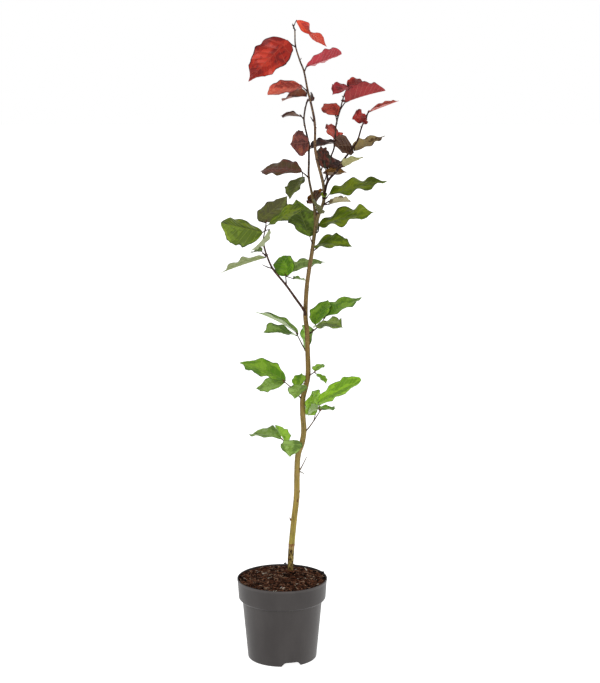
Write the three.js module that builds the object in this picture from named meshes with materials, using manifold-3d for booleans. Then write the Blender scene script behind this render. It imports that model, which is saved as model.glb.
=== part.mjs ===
// A young copper beech whip in a round nursery pot.
// Millimetres, +Z up. The origin is the middle of the pot's flat underside.
import * as THREE from 'three';
import { mergeVertices } from 'three/addons/utils/BufferGeometryUtils.js';
import Module from 'manifold-3d';

const wasm = await Module();
wasm.setup();

// ---- Driving dimensions ------------------------------------------------------------------

const CLEARANCE = 0.3; // kept between one solid and the next
const SLIVER = 0.04; // facets finer than this are folded into their neighbours

// Pot: a thin moulded cone under a wide collar with a small lip, as [radius, height].
const POT_FACETS = 40;
const POT_OUTSIDE = [
  [63.5, 0], [65, 1.5], [75.6, 114.8], [79, 114.3], [82.2, 117.6], [84.3, 150], [85, 151.3], [85, 155],
];
const POT_INSIDE = [[83.2, 155], [80.8, 119.4], [78.6, 116.6], [74, 116.2], [63.9, 9.6]];
const NOTCH = { count: 3, first: -74, foot: 40, head: 22, height: 8.1, inner: 26, outer: 70 };

// Compost: fills the pot to just under the lip and is drawn up round the stem.
const COMPOST_TOP = [[82.5, 151.8], [76, 152.8], [60, 153], [30, 152], [0, 151.6]];
const MOUND_FACETS = 24;
const MOUND = [[42, 120], [42, 147], [30, 150.8], [20, 153.8], [12, 156], [9, 156.7]];

const WOOD_SIDES = 8;
const BOUGH_SIDES = 7;
const TWIG = { sides: 5, radius: 1.3, tipRadius: 0.9 };
const STALK = { sides: 4, radius: 0.8, tipRadius: 0.3 };

const LEAF_STATIONS = 7;
const LEAF = { bow: 20, fold: 14, cup: 0, twist: 0, wave: 1, belly: 0.85 };
const LEAF_WIDTH = 0.6; // share of the length, where a leaf gives no width of its own
const LEAF_ENDS = { stalk: 1.6, tip: 0.7 };
const LEAF_THICKNESS = { share: 0.012, least: 0.9 };
const OUTLINE = { fullness: 0.75, tipFrom: 0.8, tipLoss: 0.25 };
const TWIST = { middle: 0.45, speed: 12 };
const RUFFLE = { depth: 0.045, lobe: 0.035, lobeRate: 1.7, fewest: 2.6, spread: 0.9, edge: 1.7 };

const HASH = { key: 12.9898, roll: 78.233, spread: 43758.5453 };

const FINISHES = {
  pot: { color: '#4f4c4d', roughness: 0.5 },
  compost: { color: '#36281f', roughness: 0.95 },
  stem: { color: '#8d7538', roughness: 0.7 },
  bough: { color: '#54352e', roughness: 0.7 },
  green: { color: '#4f8a20', roughness: 0.55 },
  bronze: { color: '#5d4336', roughness: 0.55 },
  red: { color: '#b8302a', roughness: 0.5 },
};

// ---- Limbs -------------------------------------------------------------------------------
// A limb climbs from bud to bud by [right, back, up] steps, from its foot or from its
// carrier's axis at a height. Stubs are short dead spurs left on it.

const LIMBS = {
  trunk: {
    foot: [15, 34, 157], radius: 5.9, tipRadius: 1.1, fall: 1.45, sides: WOOD_SIDES, finish: 'stem',
    flare: { extra: -1.6, length: 12 }, // less than nothing: the foot narrows into the compost
    steps: [
      [1, -2, 26], [2, -3, 31], [4.3, -4, 47], [4.9, -4, 46], [0.8, -4, 44], [1.8, -3, 38],
      [7.5, -1, 25], [3.5, -1, 24], [-2, -1, 33], [-0.1, -1, 28], [6, -1, 26], [4, -1, 23],
      [-1, -1, 46], [-1, -1, 36], [-3, -2, 30], [2, -2, 48], [4, 0, 33], [6, 2, 37], [5.9, 2, 43],
      [6, 1, 25], [9, 1, 24], [0.9, 0, 22], [-4.1, 0, 23], [-8.1, -2, 30], [-4.3, -2, 26],
      [0, -1, 32], [-2, -1, 22], [-6.2, -2, 29], [-5.3, -2, 21], [-6.7, -2, 34], [-7.6, -1, 20],
      [-7.6, -1, 26], [-1.2, -1, 26], [-2, -1, 7],
    ],
    stubs: [
      { height: 358, steps: [[7, -3, 0], [6, -3, -3]] },
      { height: 361, steps: [[5, -3, 1], [13, -5, 27]] },
      { height: 1018, steps: [[-2, -1, 1], [-5, -3, 8]] },
    ],
  },
  bough_left_low: {
    carrier: 'trunk', height: 660, radius: 2.1, tipRadius: 1.3, sides: BOUGH_SIDES, finish: 'bough',
    steps: [
      [-3, -12, 12], [-16, -10, 25], [-17, -10, 26], [-23, -12, 31], [-11, -8, 26], [-5, -6, 18],
    ],
    stubs: [{ height: 755, steps: [[-10, -5, 4], [-9, -4, 5]] }],
  },
  bough_left_leader: {
    carrier: 'trunk', height: 822, radius: 2.2, tipRadius: 1, sides: BOUGH_SIDES, finish: 'bough',
    steps: [
      [-2, 12, 36], [-5, 6, 28], [-5, 6, 26], [0, 3, 27], [0, 3, 23], [-2, 2, 20], [-5, 2, 22],
      [-2, 2, 14], [2, 1, 17], [3, 1, 13],
    ],
    stubs: [],
  },
  bough_right: {
    carrier: 'trunk', height: 877, radius: 2.3, tipRadius: 1.1, sides: BOUGH_SIDES, finish: 'bough',
    steps: [
      [7, -12, 32], [17, -10, 22], [9, -5, 17], [14, -7, 19], [13, -7, 21], [7, -5, 23],
      [8, -5, 21],
    ],
    stubs: [],
  },
  bough_middle: {
    carrier: 'bough_right', height: 909, radius: 1.6, tipRadius: 1, sides: BOUGH_SIDES, finish: 'bough',
    steps: [
      [0, 24, 10], [1, 14, 17], [6, 6, 15], [6, 3, 18], [3, -2, 39], [7, 3, 26], [6, 3, 23],
      [7, 2, 17],
    ],
    stubs: [],
  },
};

// ---- Foliage -----------------------------------------------------------------------------
// A spray is a short side shoot with its leaves. It stands on its carrier at a height, or on
// the carrier's tip where no height is given. A leaf leaves bud `at` of the shoot on a stalk;
// turn and rise aim it, roll tips it about its own midrib. Angles are in degrees.

const SPRAYS = [
  {
    name: 'foot_left', carrier: 'trunk', height: 390, tint: 'green',
    steps: [[-8, 0, 8], [-10, 2, 13], [-10, 3, 7]],
    leaves: [
      {
        at: 3, stalk: [-3, 1, 2], long: 80, turn: 139, rise: -4, roll: -8,
        wide: 55, bow: 24, fold: 16, belly: 1.2,
      },
      { at: 2, stalk: [-4, 1, 3], long: 54, turn: 116, rise: 26, roll: 18, wide: 32, bow: 10, fold: 24 },
      { at: 2, stalk: [9, -4, 9], long: 42, turn: -100, rise: -34, roll: 0, wide: 42 },
    ],
  },
  {
    name: 'low_right', carrier: 'trunk', height: 432, tint: 'green',
    steps: [[10, -5, 13], [10, -6, 16], [11, -6, 19]],
    leaves: [
      {
        at: 2, stalk: [2, -2, 11], long: 64, turn: 96, rise: 31, roll: -57,
        wide: 54, bow: -14, fold: 10, belly: 1,
      },
      { at: 3, stalk: [-3, 2, 4], long: 44, turn: -117, rise: 0, roll: 66, wide: 26, bow: 30, fold: 20 },
      {
        at: 3, stalk: [-3, 0, 11], long: 101, turn: -23, rise: 35, roll: 36,
        wide: 56, bow: 12, fold: 12, belly: 1.5,
      },
      { at: 3, stalk: [0, 0, 3], long: 50, turn: 56, rise: -4, roll: 6, wide: 30, bow: -24, wave: 1.6 },
    ],
  },
  {
    name: 'low_left', carrier: 'trunk', height: 496, tint: 'green',
    steps: [[-12, -10, 18], [-11, -8, 13], [-11, -5, 11]],
    leaves: [
      {
        at: 3, stalk: [2, 2, 2], long: 97, turn: 157, rise: 15, roll: -16,
        wide: 56, bow: 22, fold: 12, belly: 0.92,
      },
      { at: 3, stalk: [0, 0, -2], long: 64, turn: 150, rise: -17, roll: -42, wide: 35, bow: 14, fold: 10 },
      { at: 2, stalk: [13, -1, 0], long: 38, turn: 76, rise: 30, roll: -6, wide: 27, bow: 10, fold: 12 },
      { at: 2, stalk: [20, -2, 4], long: 42, turn: -108, rise: -25, roll: 6, wide: 38, fold: 16 },
    ],
  },
  {
    name: 'small_right', carrier: 'trunk', height: 541, tint: 'green',
    steps: [[4, -4, 5], [9, -3, 7]],
    leaves: [
      { at: 2, stalk: [1, 0, 2], long: 34, turn: 62, rise: 13, roll: -5, wide: 24, bow: 6, fold: 10 },
      { at: 2, stalk: [3, 0, -3], long: 34, turn: -53, rise: -24, roll: -12, wide: 22, bow: 14, fold: 16 },
    ],
  },
  {
    name: 'mid_left', carrier: 'trunk', height: 585, tint: 'green',
    steps: [[-11, 6, 19], [-8, 3, 16]],
    leaves: [
      { at: 2, stalk: [1, 0, 3], long: 96, turn: 153, rise: 20, roll: 11, wide: 34, bow: 16, fold: 30 },
      {
        at: 2, stalk: [0, -2, -1], long: 84, turn: -139, rise: 12, roll: -16,
        bow: 16, fold: 20, belly: 1.1,
      },
    ],
  },
  {
    name: 'mid_right', carrier: 'trunk', height: 622, tint: 'green',
    steps: [[9, 6, 5], [11, 3, 9], [11, 1, 14]],
    leaves: [
      { at: 1, stalk: [3, 2, 4], long: 57, turn: 118, rise: -47, roll: -83, wide: 50, bow: 16, fold: 16 },
      { at: 2, stalk: [-5, 1, 4], long: 66, turn: 63, rise: 35, roll: -8, wide: 42, bow: 14, fold: 12 },
      {
        at: 3, stalk: [0, 0, 3], long: 90, turn: 33, rise: 19, roll: 2,
        wide: 56, bow: 12, fold: 12, belly: 1,
      },
      { at: 2, stalk: [-3, -4, 3], long: 78, turn: -52, rise: 6, roll: 16, bow: 24, fold: 12, wave: 1.6 },
    ],
  },
  {
    name: 'left_spur', carrier: 'bough_left_low', height: 722, tint: 'green',
    steps: [[0, 10, 4], [-1, 12, 9]],
    leaves: [
      {
        at: 2, stalk: [5, 0, 1.5], long: 56, turn: 106, rise: 28, roll: -30,
        wide: 48, bow: 12, fold: 34, belly: 0.95,
      },
      { at: 2, stalk: [10, 11, 5.5], long: 86, turn: 42, rise: 6, roll: 5, wide: 46, bow: 14, fold: 20 },
      {
        at: 2, stalk: [14, 6, -6], long: 40, turn: 50, rise: -14, roll: 9,
        wide: 20, bow: 10, fold: 24, wave: 1.6,
      },
    ],
  },
  {
    name: 'left_tip', carrier: 'bough_left_low', tint: 'green',
    steps: [[-1, -3, 15], [3, -2, 15], [2, -1, 14]],
    leaves: [
      {
        at: 3, stalk: [-13, 10, 2], long: 72, turn: 30, rise: 35, roll: 20,
        wide: 54, bow: -16, fold: -4, belly: 0.8,
      },
      {
        at: 2, stalk: [3, -9, 10], long: 78, turn: -8, rise: 27, roll: 22,
        wide: 52, bow: 16, fold: 8, belly: 1.5,
      },
      {
        at: 2, stalk: [-4, -1, -3], long: 82, turn: -160, rise: 15, roll: -56,
        wide: 66, bow: -4, fold: -34, belly: 0.95,
      },
      {
        at: 2, stalk: [8, 1, 2], long: 66, turn: -123, rise: -27, roll: -154,
        wide: 26, fold: 50, wave: 1.8,
      },
    ],
  },
  {
    name: 'left_side', carrier: 'bough_left_low', height: 781, tint: 'green',
    steps: [[-4, 3, 1]],
    leaves: [
      { at: 1, stalk: [-5, -2, 6], long: 36, turn: 122, rise: -12, roll: -20, bow: 16, fold: 20 },
      {
        at: 1, stalk: [2, -1, -5], long: 92, turn: 162, rise: -21, roll: 17,
        wide: 32, bow: 4, fold: 30, wave: 2,
      },
    ],
  },
  {
    name: 'trunk_right', carrier: 'trunk', height: 779, tint: 'green',
    steps: [[6, -2, 4]],
    leaves: [
      { at: 1, stalk: [4, -1, 10], long: 80, turn: -38, rise: 3, roll: 26, bow: 26, wave: 1.6, belly: 0.6 },
    ],
  },
  {
    name: 'trunk_left', carrier: 'trunk', height: 792, tint: 'green',
    steps: [[-3, -6, 7]],
    leaves: [
      {
        at: 1, stalk: [-3, -3, 9], long: 88, turn: 113, rise: 43, roll: 7,
        wide: 66, bow: -10, fold: 4, belly: 0.95,
      },
    ],
  },
  {
    name: 'spur_right', carrier: 'trunk', height: 812, tint: 'green',
    steps: [[6, -2, 4], [2, -3, 9]],
    leaves: [
      {
        at: 2, stalk: [0, 0, 4], long: 113, turn: -18, rise: 15, roll: 26,
        wide: 56, bow: 14, fold: 8, wave: 2.4,
      },
    ],
  },
  {
    name: 'fork_right', carrier: 'trunk', height: 874, tint: 'green',
    steps: [[4, -5, 3]],
    leaves: [
      {
        at: 1, stalk: [6, -2, 8], long: 112, turn: 14, rise: 11, roll: 18,
        wide: 48, bow: 12, fold: 8, wave: 2.4,
      },
    ],
  },
  {
    name: 'dry', carrier: 'trunk', height: 864, tint: 'bronze',
    steps: [[5, -6, 2]],
    leaves: [
      {
        at: 1, stalk: [6, -4, 1], long: 54, turn: -37, rise: 10, roll: 0,
        wide: 26, fold: 36, twist: 70, wave: 2.4,
      },
    ],
  },
  {
    name: 'fork', carrier: 'trunk', height: 842, tint: 'bronze',
    steps: [[-3, 9, 6], [0, 5, 9]],
    leaves: [
      { at: 2, stalk: [0, 0, 11], long: 50, turn: 96, rise: 20, roll: -40, wide: 38, bow: -20 },
    ],
  },
  {
    name: 'fork_front', carrier: 'trunk', height: 848, tint: 'bronze',
    steps: [[-2, -6, 2]],
    leaves: [
      { at: 1, stalk: [0, -8, 3.5], long: 56, turn: -96, rise: 32, roll: -47, wide: 32, bow: 10, fold: 12 },
    ],
  },
  {
    name: 'leader_foot', carrier: 'bough_left_leader', height: 862, tint: 'bronze',
    steps: [[-1, -5, 3]],
    leaves: [
      { at: 1, stalk: [0, -2, 2], long: 26, turn: -106, rise: 6, roll: -13, wide: 18, bow: 14, fold: 20 },
    ],
  },
  {
    name: 'leader_low', carrier: 'bough_left_leader', height: 911, tint: 'bronze',
    steps: [[-7, -1, 7], [-5, -1, 4]],
    leaves: [
      {
        at: 2, stalk: [-1, -1, 1], long: 98, turn: 142, rise: -4, roll: -24,
        wide: 54, bow: 32, fold: 6, belly: 1,
      },
      { at: 2, stalk: [0, -2, -8], long: 62, turn: -117, rise: -34, roll: 15, wide: 40, fold: 12 },
    ],
  },
  {
    name: 'leader_mid', carrier: 'bough_left_leader', height: 957, tint: 'bronze',
    steps: [[2, 2, 8]],
    leaves: [
      {
        at: 1, stalk: [-1, 1, 11], long: 46, turn: -140, rise: 0, roll: -78,
        wide: 47, bow: 10, fold: 4, belly: 1,
      },
      { at: 1, stalk: [3, 4, 0], long: 72, turn: 39, rise: 3, roll: 5, bow: 14, fold: 20 },
    ],
  },
  {
    name: 'leader_high', carrier: 'bough_left_leader', height: 1018, tint: 'bronze',
    steps: [[-4, 2, 4]],
    leaves: [
      {
        at: 1, stalk: [-2, 1, 3], long: 56, turn: 131, rise: -4, roll: -2,
        wide: 24, bow: 4, fold: 20, twist: 70,
      },
    ],
  },
  {
    name: 'leader_tip', carrier: 'bough_left_leader', tint: 'bronze',
    steps: [[2, 1, 3]],
    leaves: [
      { at: 1, stalk: [5, 3, 0], long: 26, turn: 85, rise: 31, roll: 63, bow: 10, fold: 20 },
    ],
  },
  {
    name: 'crown_neck', carrier: 'trunk', height: 1064, tint: 'red',
    steps: [[-4, -1, 9], [-8, -2, 8]],
    leaves: [
      {
        at: 2, stalk: [-3, -2, 3], long: 78, turn: -140, rise: -9, roll: -24,
        wide: 42, bow: 8, fold: 18, wave: 0.7, belly: 0.9,
      },
      { at: 1, stalk: [-1, 2, -9], long: 66, turn: 134, rise: -12, roll: -25, wide: 38, bow: 22, fold: 26 },
    ],
  },
  {
    name: 'crown_top', carrier: 'trunk', height: 1186, tint: 'red',
    steps: [[-1, -1, 3]],
    leaves: [
      {
        at: 1, stalk: [5, 1, 11], long: 84, turn: 36, rise: -36, roll: 24,
        wide: 25, bow: 6, fold: 12, twist: 140, belly: 0.9,
      },
    ],
  },
  {
    name: 'crown_left', carrier: 'trunk', height: 1153, tint: 'red',
    steps: [[-6, -2, 3]],
    leaves: [
      {
        at: 1, stalk: [-9, -4, 9], long: 106, turn: -150, rise: -41, roll: -36,
        wide: 68, bow: 8, fold: 8, belly: 0.68,
      },
    ],
  },
  {
    name: 'crown_right', carrier: 'trunk', height: 1108, tint: 'red',
    steps: [[3, 0, 6]],
    leaves: [
      {
        at: 1, stalk: [1, 0, 4], long: 90, turn: 43, rise: 11, roll: -52,
        wide: 40, bow: -6, fold: 30, belly: 1.3,
      },
    ],
  },
  {
    name: 'centre', carrier: 'trunk', height: 904, tint: 'bronze',
    steps: [[5, -4, 10], [1, -3, 12]],
    leaves: [
      { at: 2, stalk: [-2, 1, 6], long: 46, turn: 110, rise: 60, roll: 6, wide: 32, bow: -12 },
      { at: 2, stalk: [4, 1, 9], long: 42, turn: 50, rise: 18, roll: -5, wide: 36, bow: 14, fold: 16 },
      { at: 2, stalk: [-6, -1, -1], long: 46, turn: 18, rise: -2, roll: -42, wide: 25, bow: 12, fold: 10 },
    ],
  },
  {
    name: 'right_low', carrier: 'bough_right', height: 936, tint: 'bronze',
    steps: [[4, 0, 1]],
    leaves: [
      { at: 1, stalk: [6, 0, 1], long: 58, turn: -52, rise: 23, roll: -7, bow: 10, fold: 20 },
    ],
  },
  {
    name: 'right_mid', carrier: 'bough_right', height: 973, tint: 'bronze',
    steps: [[4, -2, 4]],
    leaves: [
      {
        at: 1, stalk: [0, 0, -5], long: 80, turn: 42, rise: 11, roll: 12,
        wide: 46, bow: 6, fold: 20, wave: 1.6, belly: 0.72,
      },
    ],
  },
  {
    name: 'right_inner', carrier: 'bough_right', height: 973, tint: 'bronze',
    steps: [[-2, 3, 4]],
    leaves: [
      { at: 1, stalk: [1, -1, 1], long: 56, turn: 126, rise: 3, roll: 63, wide: 42, fold: 20, cup: 30 },
    ],
  },
  {
    name: 'right_tip', carrier: 'bough_right', tint: 'red',
    steps: [[3, -2, 6]],
    leaves: [
      {
        at: 1, stalk: [3, -1, 3], long: 76, turn: -46, rise: 19, roll: 24,
        wide: 22, bow: 0, fold: 30, belly: 0.7,
      },
      {
        at: 1, stalk: [-2, 2, -9], long: 42, turn: -130, rise: 2, roll: -56,
        wide: 32, bow: 14, fold: 24, wave: 2.2, belly: 1.1,
      },
    ],
  },
  {
    name: 'middle_low', carrier: 'bough_middle', height: 968, tint: 'red',
    steps: [[-1, -2, 8]],
    leaves: [
      {
        at: 1, stalk: [3, 0, 2], long: 57, turn: 97, rise: 27, roll: 31,
        wide: 40, bow: -10, fold: 10, wave: 1.8,
      },
    ],
  },
  {
    name: 'middle_mid', carrier: 'bough_middle', height: 1014, tint: 'red',
    steps: [[-2, -2, 8]],
    leaves: [
      {
        at: 1, stalk: [3, 0, 3], long: 42, turn: 132, rise: 26, roll: -20,
        wide: 36, bow: 12, fold: 6, wave: 0.6, belly: 1,
      },
    ],
  },
  {
    name: 'middle_high', carrier: 'bough_middle', height: 1036, tint: 'red',
    steps: [[5, 1, 7]],
    leaves: [
      {
        at: 1, stalk: [4, -16, 7], long: 88, turn: 31, rise: 11, roll: -46,
        wide: 54, bow: 10, fold: 46, belly: 0.8,
      },
    ],
  },
  {
    name: 'middle_tip', carrier: 'bough_middle', tint: 'red',
    steps: [[1, 1, 5]],
    leaves: [
      { at: 1, stalk: [1, 3, 1.5], long: 54, turn: 54, rise: 0, roll: 12, wide: 42, bow: 44, wave: 1.6 },
      {
        at: 1, stalk: [2, -1, -3], long: 58, turn: -121, rise: -7, roll: -12,
        bow: 24, fold: 20, wave: 1.4,
      },
    ],
  },
];

// ---- Small helpers -----------------------------------------------------------------------

const UP = new THREE.Vector3(0, 0, 1);
const vec = (xyz) => new THREE.Vector3(...xyz);
const rad = THREE.MathUtils.degToRad;
const lerp = THREE.MathUtils.lerp;
const clamp = THREE.MathUtils.clamp;

// A repeatable number from 0 to 1 for one leaf (key) and one use of it (roll).
function dice(key, roll) {
  const x = Math.sin(key * HASH.key + roll * HASH.roll + 1) * HASH.spread;
  return x - Math.floor(x);
}

// Turns a closed three.js geometry into a manifold solid.
function solidOf(geometry) {
  const bare = geometry.clone();
  bare.deleteAttribute('normal');
  bare.deleteAttribute('uv');
  const welded = mergeVertices(bare, 1e-4);
  const index = [...welded.index.array];
  const triVerts = [];
  for (let i = 0; i < index.length; i += 3) {
    const [a, b, c] = index.slice(i, i + 3);
    if (a !== b && b !== c && c !== a) triVerts.push(a, b, c);
  }
  return new wasm.Manifold(new wasm.Mesh({
    numProp: 3,
    vertProperties: new Float32Array(welded.attributes.position.array),
    triVerts: new Uint32Array(triVerts),
  }));
}

function geometryOf(solid) {
  const mesh = solid.getMesh();
  const geometry = new THREE.BufferGeometry();
  geometry.setAttribute('position', new THREE.BufferAttribute(mesh.vertProperties, 3));
  geometry.setIndex(new THREE.BufferAttribute(mesh.triVerts, 1));
  geometry.computeVertexNormals();
  return geometry;
}

function fuse(solids) {
  return solids.reduce((whole, solid) => whole.add(solid));
}

// The largest connected piece, without the crumbs that a cut can leave.
function largest(solid) {
  return solid.decompose().sort((a, b) => b.volume() - a.volume())[0];
}

function touches(solid, other) {
  return solid.intersect(other).volume() > 0;
}

// ---- Paths and tubes ---------------------------------------------------------------------

function climb(start, steps) {
  const path = [start];
  for (const step of steps) path.push(path.at(-1).clone().add(vec(step)));
  return path;
}

function limbPath(name) {
  const limb = LIMBS[name];
  const start = limb.foot ? vec(limb.foot) : pointAt(limb.carrier, limb.height);
  return climb(start, limb.steps);
}

// The point on a limb's axis at a height above the ground.
function pointAt(name, height) {
  const path = limbPath(name);
  const above = path.findIndex((point) => point.z >= height);
  const [low, high] = [path[above - 1], path[above]];
  return low.clone().lerp(high, (height - low.z) / (high.z - low.z));
}

// Radii along a path, falling with a power of the length travelled.
function taper(path, radius, tipRadius, fall = 1, flare = { extra: 0, length: 1 }) {
  const travelled = [0];
  for (let i = 1; i < path.length; i += 1) {
    travelled.push(travelled[i - 1] + path[i].distanceTo(path[i - 1]));
  }
  const total = travelled.at(-1);
  return travelled.map((s) => {
    return lerp(radius, tipRadius, (s / total) ** fall) + flare.extra * Math.exp(-s / flare.length);
  });
}

// Directions along a path: each bend takes the mean of the internodes on either side.
function tangents(path, level) {
  return path.map((point, i) => {
    if (i === 0 && level) return UP.clone();
    const before = path[Math.max(i - 1, 0)];
    const after = path[Math.min(i + 1, path.length - 1)];
    return after.clone().sub(before).normalize();
  });
}

// A closed cylinder bent along a path. The first end is cut level where asked.
function tube(path, radii, sides, level = false) {
  const along = tangents(path, level);
  const frames = [];
  let side = Math.abs(along[0].x) < 0.9 ? new THREE.Vector3(1, 0, 0) : new THREE.Vector3(0, 1, 0);
  for (const tangent of along) {
    side = side.clone().addScaledVector(tangent, -side.dot(tangent)).normalize();
    frames.push([side, side.clone().cross(tangent)]);
  }
  const blank = new THREE.CylinderGeometry(1, 1, 1, sides, path.length - 1);
  const place = blank.attributes.position;
  for (let i = 0; i < place.count; i += 1) {
    const ring = Math.round((place.getY(i) + 0.5) * (path.length - 1));
    const [u, w] = frames[ring];
    const point = path[ring].clone();
    point.addScaledVector(u, place.getX(i) * radii[ring]);
    point.addScaledVector(w, place.getZ(i) * radii[ring]);
    place.setXYZ(i, point.x, point.y, point.z);
  }
  return solidOf(blank);
}

// The same limb with the clearance added all round and past its tip.
function sleeve(name) {
  const limb = LIMBS[name];
  const path = limbPath(name);
  const tip = path.at(-1).clone().sub(path.at(-2)).normalize();
  path.at(-1).addScaledVector(tip, CLEARANCE);
  const grow = CLEARANCE / Math.cos(Math.PI / limb.sides);
  const slim = taper(path, limb.radius, limb.tipRadius, limb.fall, limb.flare);
  const radii = slim.map((radius) => radius + grow);
  return tube(path, radii, limb.sides, Boolean(limb.foot));
}

function limbSolid(name) {
  const limb = LIMBS[name];
  const path = limbPath(name);
  const radii = taper(path, limb.radius, limb.tipRadius, limb.fall, limb.flare);
  const wood = [tube(path, radii, limb.sides, Boolean(limb.foot))];
  for (const stub of limb.stubs) {
    const twig = climb(pointAt(name, stub.height), stub.steps);
    wood.push(tube(twig, taper(twig, TWIG.radius, TWIG.tipRadius), TWIG.sides));
  }
  const whole = fuse(wood);
  return limb.carrier ? largest(whole.subtract(sleeve(limb.carrier))) : whole;
}

// ---- Leaves ------------------------------------------------------------------------------

// Midrib, blade frame and half width of a leaf at each station from stalk to tip.
function leafStations(leaf, base) {
  const [turn, rise, roll, bow, twist] = [leaf.turn, leaf.rise, leaf.roll, leaf.bow, leaf.twist].map(rad);
  const chord = new THREE.Vector3(
    Math.cos(turn) * Math.cos(rise), Math.sin(turn) * Math.cos(rise), Math.sin(rise),
  );
  const level = UP.clone().addScaledVector(chord, -chord.z).normalize();
  const across = chord.clone().cross(level);
  const normal = level.clone().multiplyScalar(Math.cos(roll)).addScaledVector(across, Math.sin(roll));
  const side = across.multiplyScalar(Math.cos(roll)).addScaledVector(level, -Math.sin(roll));
  const reach = bow === 0 ? 1 : Math.sin(bow / 2) / (bow / 2);
  const stations = [];
  for (let i = 0; i <= LEAF_STATIONS; i += 1) {
    const s = i / LEAF_STATIONS;
    const angle = bow * (0.5 - s);
    const ahead = bow === 0 ? s : (Math.sin(bow / 2) - Math.sin(angle)) / bow;
    const lift = bow === 0 ? 0 : (Math.cos(angle) - Math.cos(bow / 2)) / bow;
    const middle = base.clone();
    middle.addScaledVector(chord, leaf.long * ahead / reach);
    middle.addScaledVector(normal, leaf.long * lift / reach);
    const up = normal.clone().multiplyScalar(Math.cos(angle)).addScaledVector(chord, -Math.sin(angle));
    const swing = twist * (1 / (1 + Math.exp(-(s - TWIST.middle) * TWIST.speed)) - 0.5);
    const right = side.clone().multiplyScalar(Math.cos(swing)).addScaledVector(up, Math.sin(swing));
    const face = up.multiplyScalar(Math.cos(swing)).addScaledVector(side, -Math.sin(swing));
    const tip = clamp((s - OUTLINE.tipFrom) / (1 - OUTLINE.tipFrom), 0, 1);
    const belly = Math.sin(Math.PI * s ** leaf.belly) ** OUTLINE.fullness * (1 - OUTLINE.tipLoss * tip);
    const half = Math.max(leaf.wide * belly, lerp(LEAF_ENDS.stalk, LEAF_ENDS.tip, s)) / 2;
    stations.push({ s, middle, right, face, half });
  }
  return stations;
}

// The lower face of a slab takes the diagonals of its upper face, so that a ruffle can't make them cross.
function pairDiagonals(slab) {
  const { start, count } = slab.groups[3];
  const corners = slab.index;
  for (let i = start; i < start + count; i += 6) {
    const [a, b, d, c] = [0, 1, 2, 4].map((k) => corners.getX(i + k));
    [a, b, c, a, c, d].forEach((corner, k) => corners.setX(i + k, corner));
  }
}

// One blade: a thin slab drawn out along the midrib, folded, cupped and ruffled.
function blade(leaf, base, key) {
  const stations = leafStations(leaf, base);
  const thick = Math.max(LEAF_THICKNESS.least, LEAF_THICKNESS.share * leaf.long);
  const rate = RUFFLE.fewest + RUFFLE.spread * dice(key, 4);
  const phase = (roll) => 2 * Math.PI * dice(key, roll);
  const blank = new THREE.BoxGeometry(1, 1, 1, LEAF_STATIONS, 1, 2);
  pairDiagonals(blank);
  const place = blank.attributes.position;
  for (let i = 0; i < place.count; i += 1) {
    const { s, middle, right, face, half } = stations[Math.round((place.getX(i) + 0.5) * LEAF_STATIONS)];
    const t = 2 * place.getZ(i);
    const edge = t > 0 ? 0 : 1;
    const fold = rad(leaf.fold) - rad(leaf.cup) * Math.abs(t) / 2;
    const lobe = 1 + RUFFLE.lobe * leaf.wave
      * Math.sin(2 * Math.PI * rate * RUFFLE.lobeRate * s + phase(2 + edge) + 1);
    const ruffle = RUFFLE.depth * leaf.wide * leaf.wave * Math.abs(t) ** RUFFLE.edge
      * Math.sin(2 * Math.PI * rate * s + phase(edge)) * Math.sqrt(Math.max(Math.sin(Math.PI * s), 0));
    const point = middle.clone();
    point.addScaledVector(right, half * lobe * t * Math.cos(fold));
    point.addScaledVector(face, half * lobe * Math.abs(t) * Math.sin(fold) + ruffle + thick * place.getY(i));
    place.setXYZ(i, point.x, point.y, point.z);
  }
  return solidOf(blank);
}

// The stalk runs from its bud to the blade and dies away inside the first part of it.
function stalk(leaf, bud, base) {
  const stations = leafStations(leaf, base);
  const path = [bud, base, stations[1].middle];
  return tube(path, [STALK.radius, STALK.radius, STALK.tipRadius], STALK.sides);
}

// A whole spray, less the leaves that would touch a limb or a spray that is already there.
function spraySolid(spray, firstKey, sleeves, grown) {
  const start = spray.height ? pointAt(spray.carrier, spray.height) : limbPath(spray.carrier).at(-1);
  const path = climb(start, spray.steps);
  const others = Object.keys(sleeves).filter((name) => name !== spray.carrier).map((name) => sleeves[name]);
  const pieces = [tube(path, taper(path, TWIG.radius, TWIG.tipRadius), TWIG.sides)];
  spray.leaves.forEach((given, i) => {
    const leaf = { ...LEAF, wide: LEAF_WIDTH * given.long, ...given };
    const bud = path[leaf.at];
    const base = bud.clone().add(vec(leaf.stalk));
    const piece = blade(leaf, base, firstKey + i).add(stalk(leaf, bud, base));
    if (![...others, ...grown].some((other) => touches(piece, other))) pieces.push(piece);
  });
  return largest(fuse(pieces).subtract(sleeves[spray.carrier]).simplify(SLIVER));
}

// ---- Pot and compost ---------------------------------------------------------------------

// Spins an open [radius, height] outline round the upright axis, closed to it at both ends.
function spun(outline, facets) {
  const first = outline[0];
  const last = outline.at(-1);
  const closed = [[0, first[1]], ...outline, [0, last[1]]];
  const lathe = new THREE.LatheGeometry(closed.map(([x, z]) => new THREE.Vector2(x, z)), facets);
  lathe.rotateX(Math.PI / 2);
  return solidOf(lathe);
}

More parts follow.
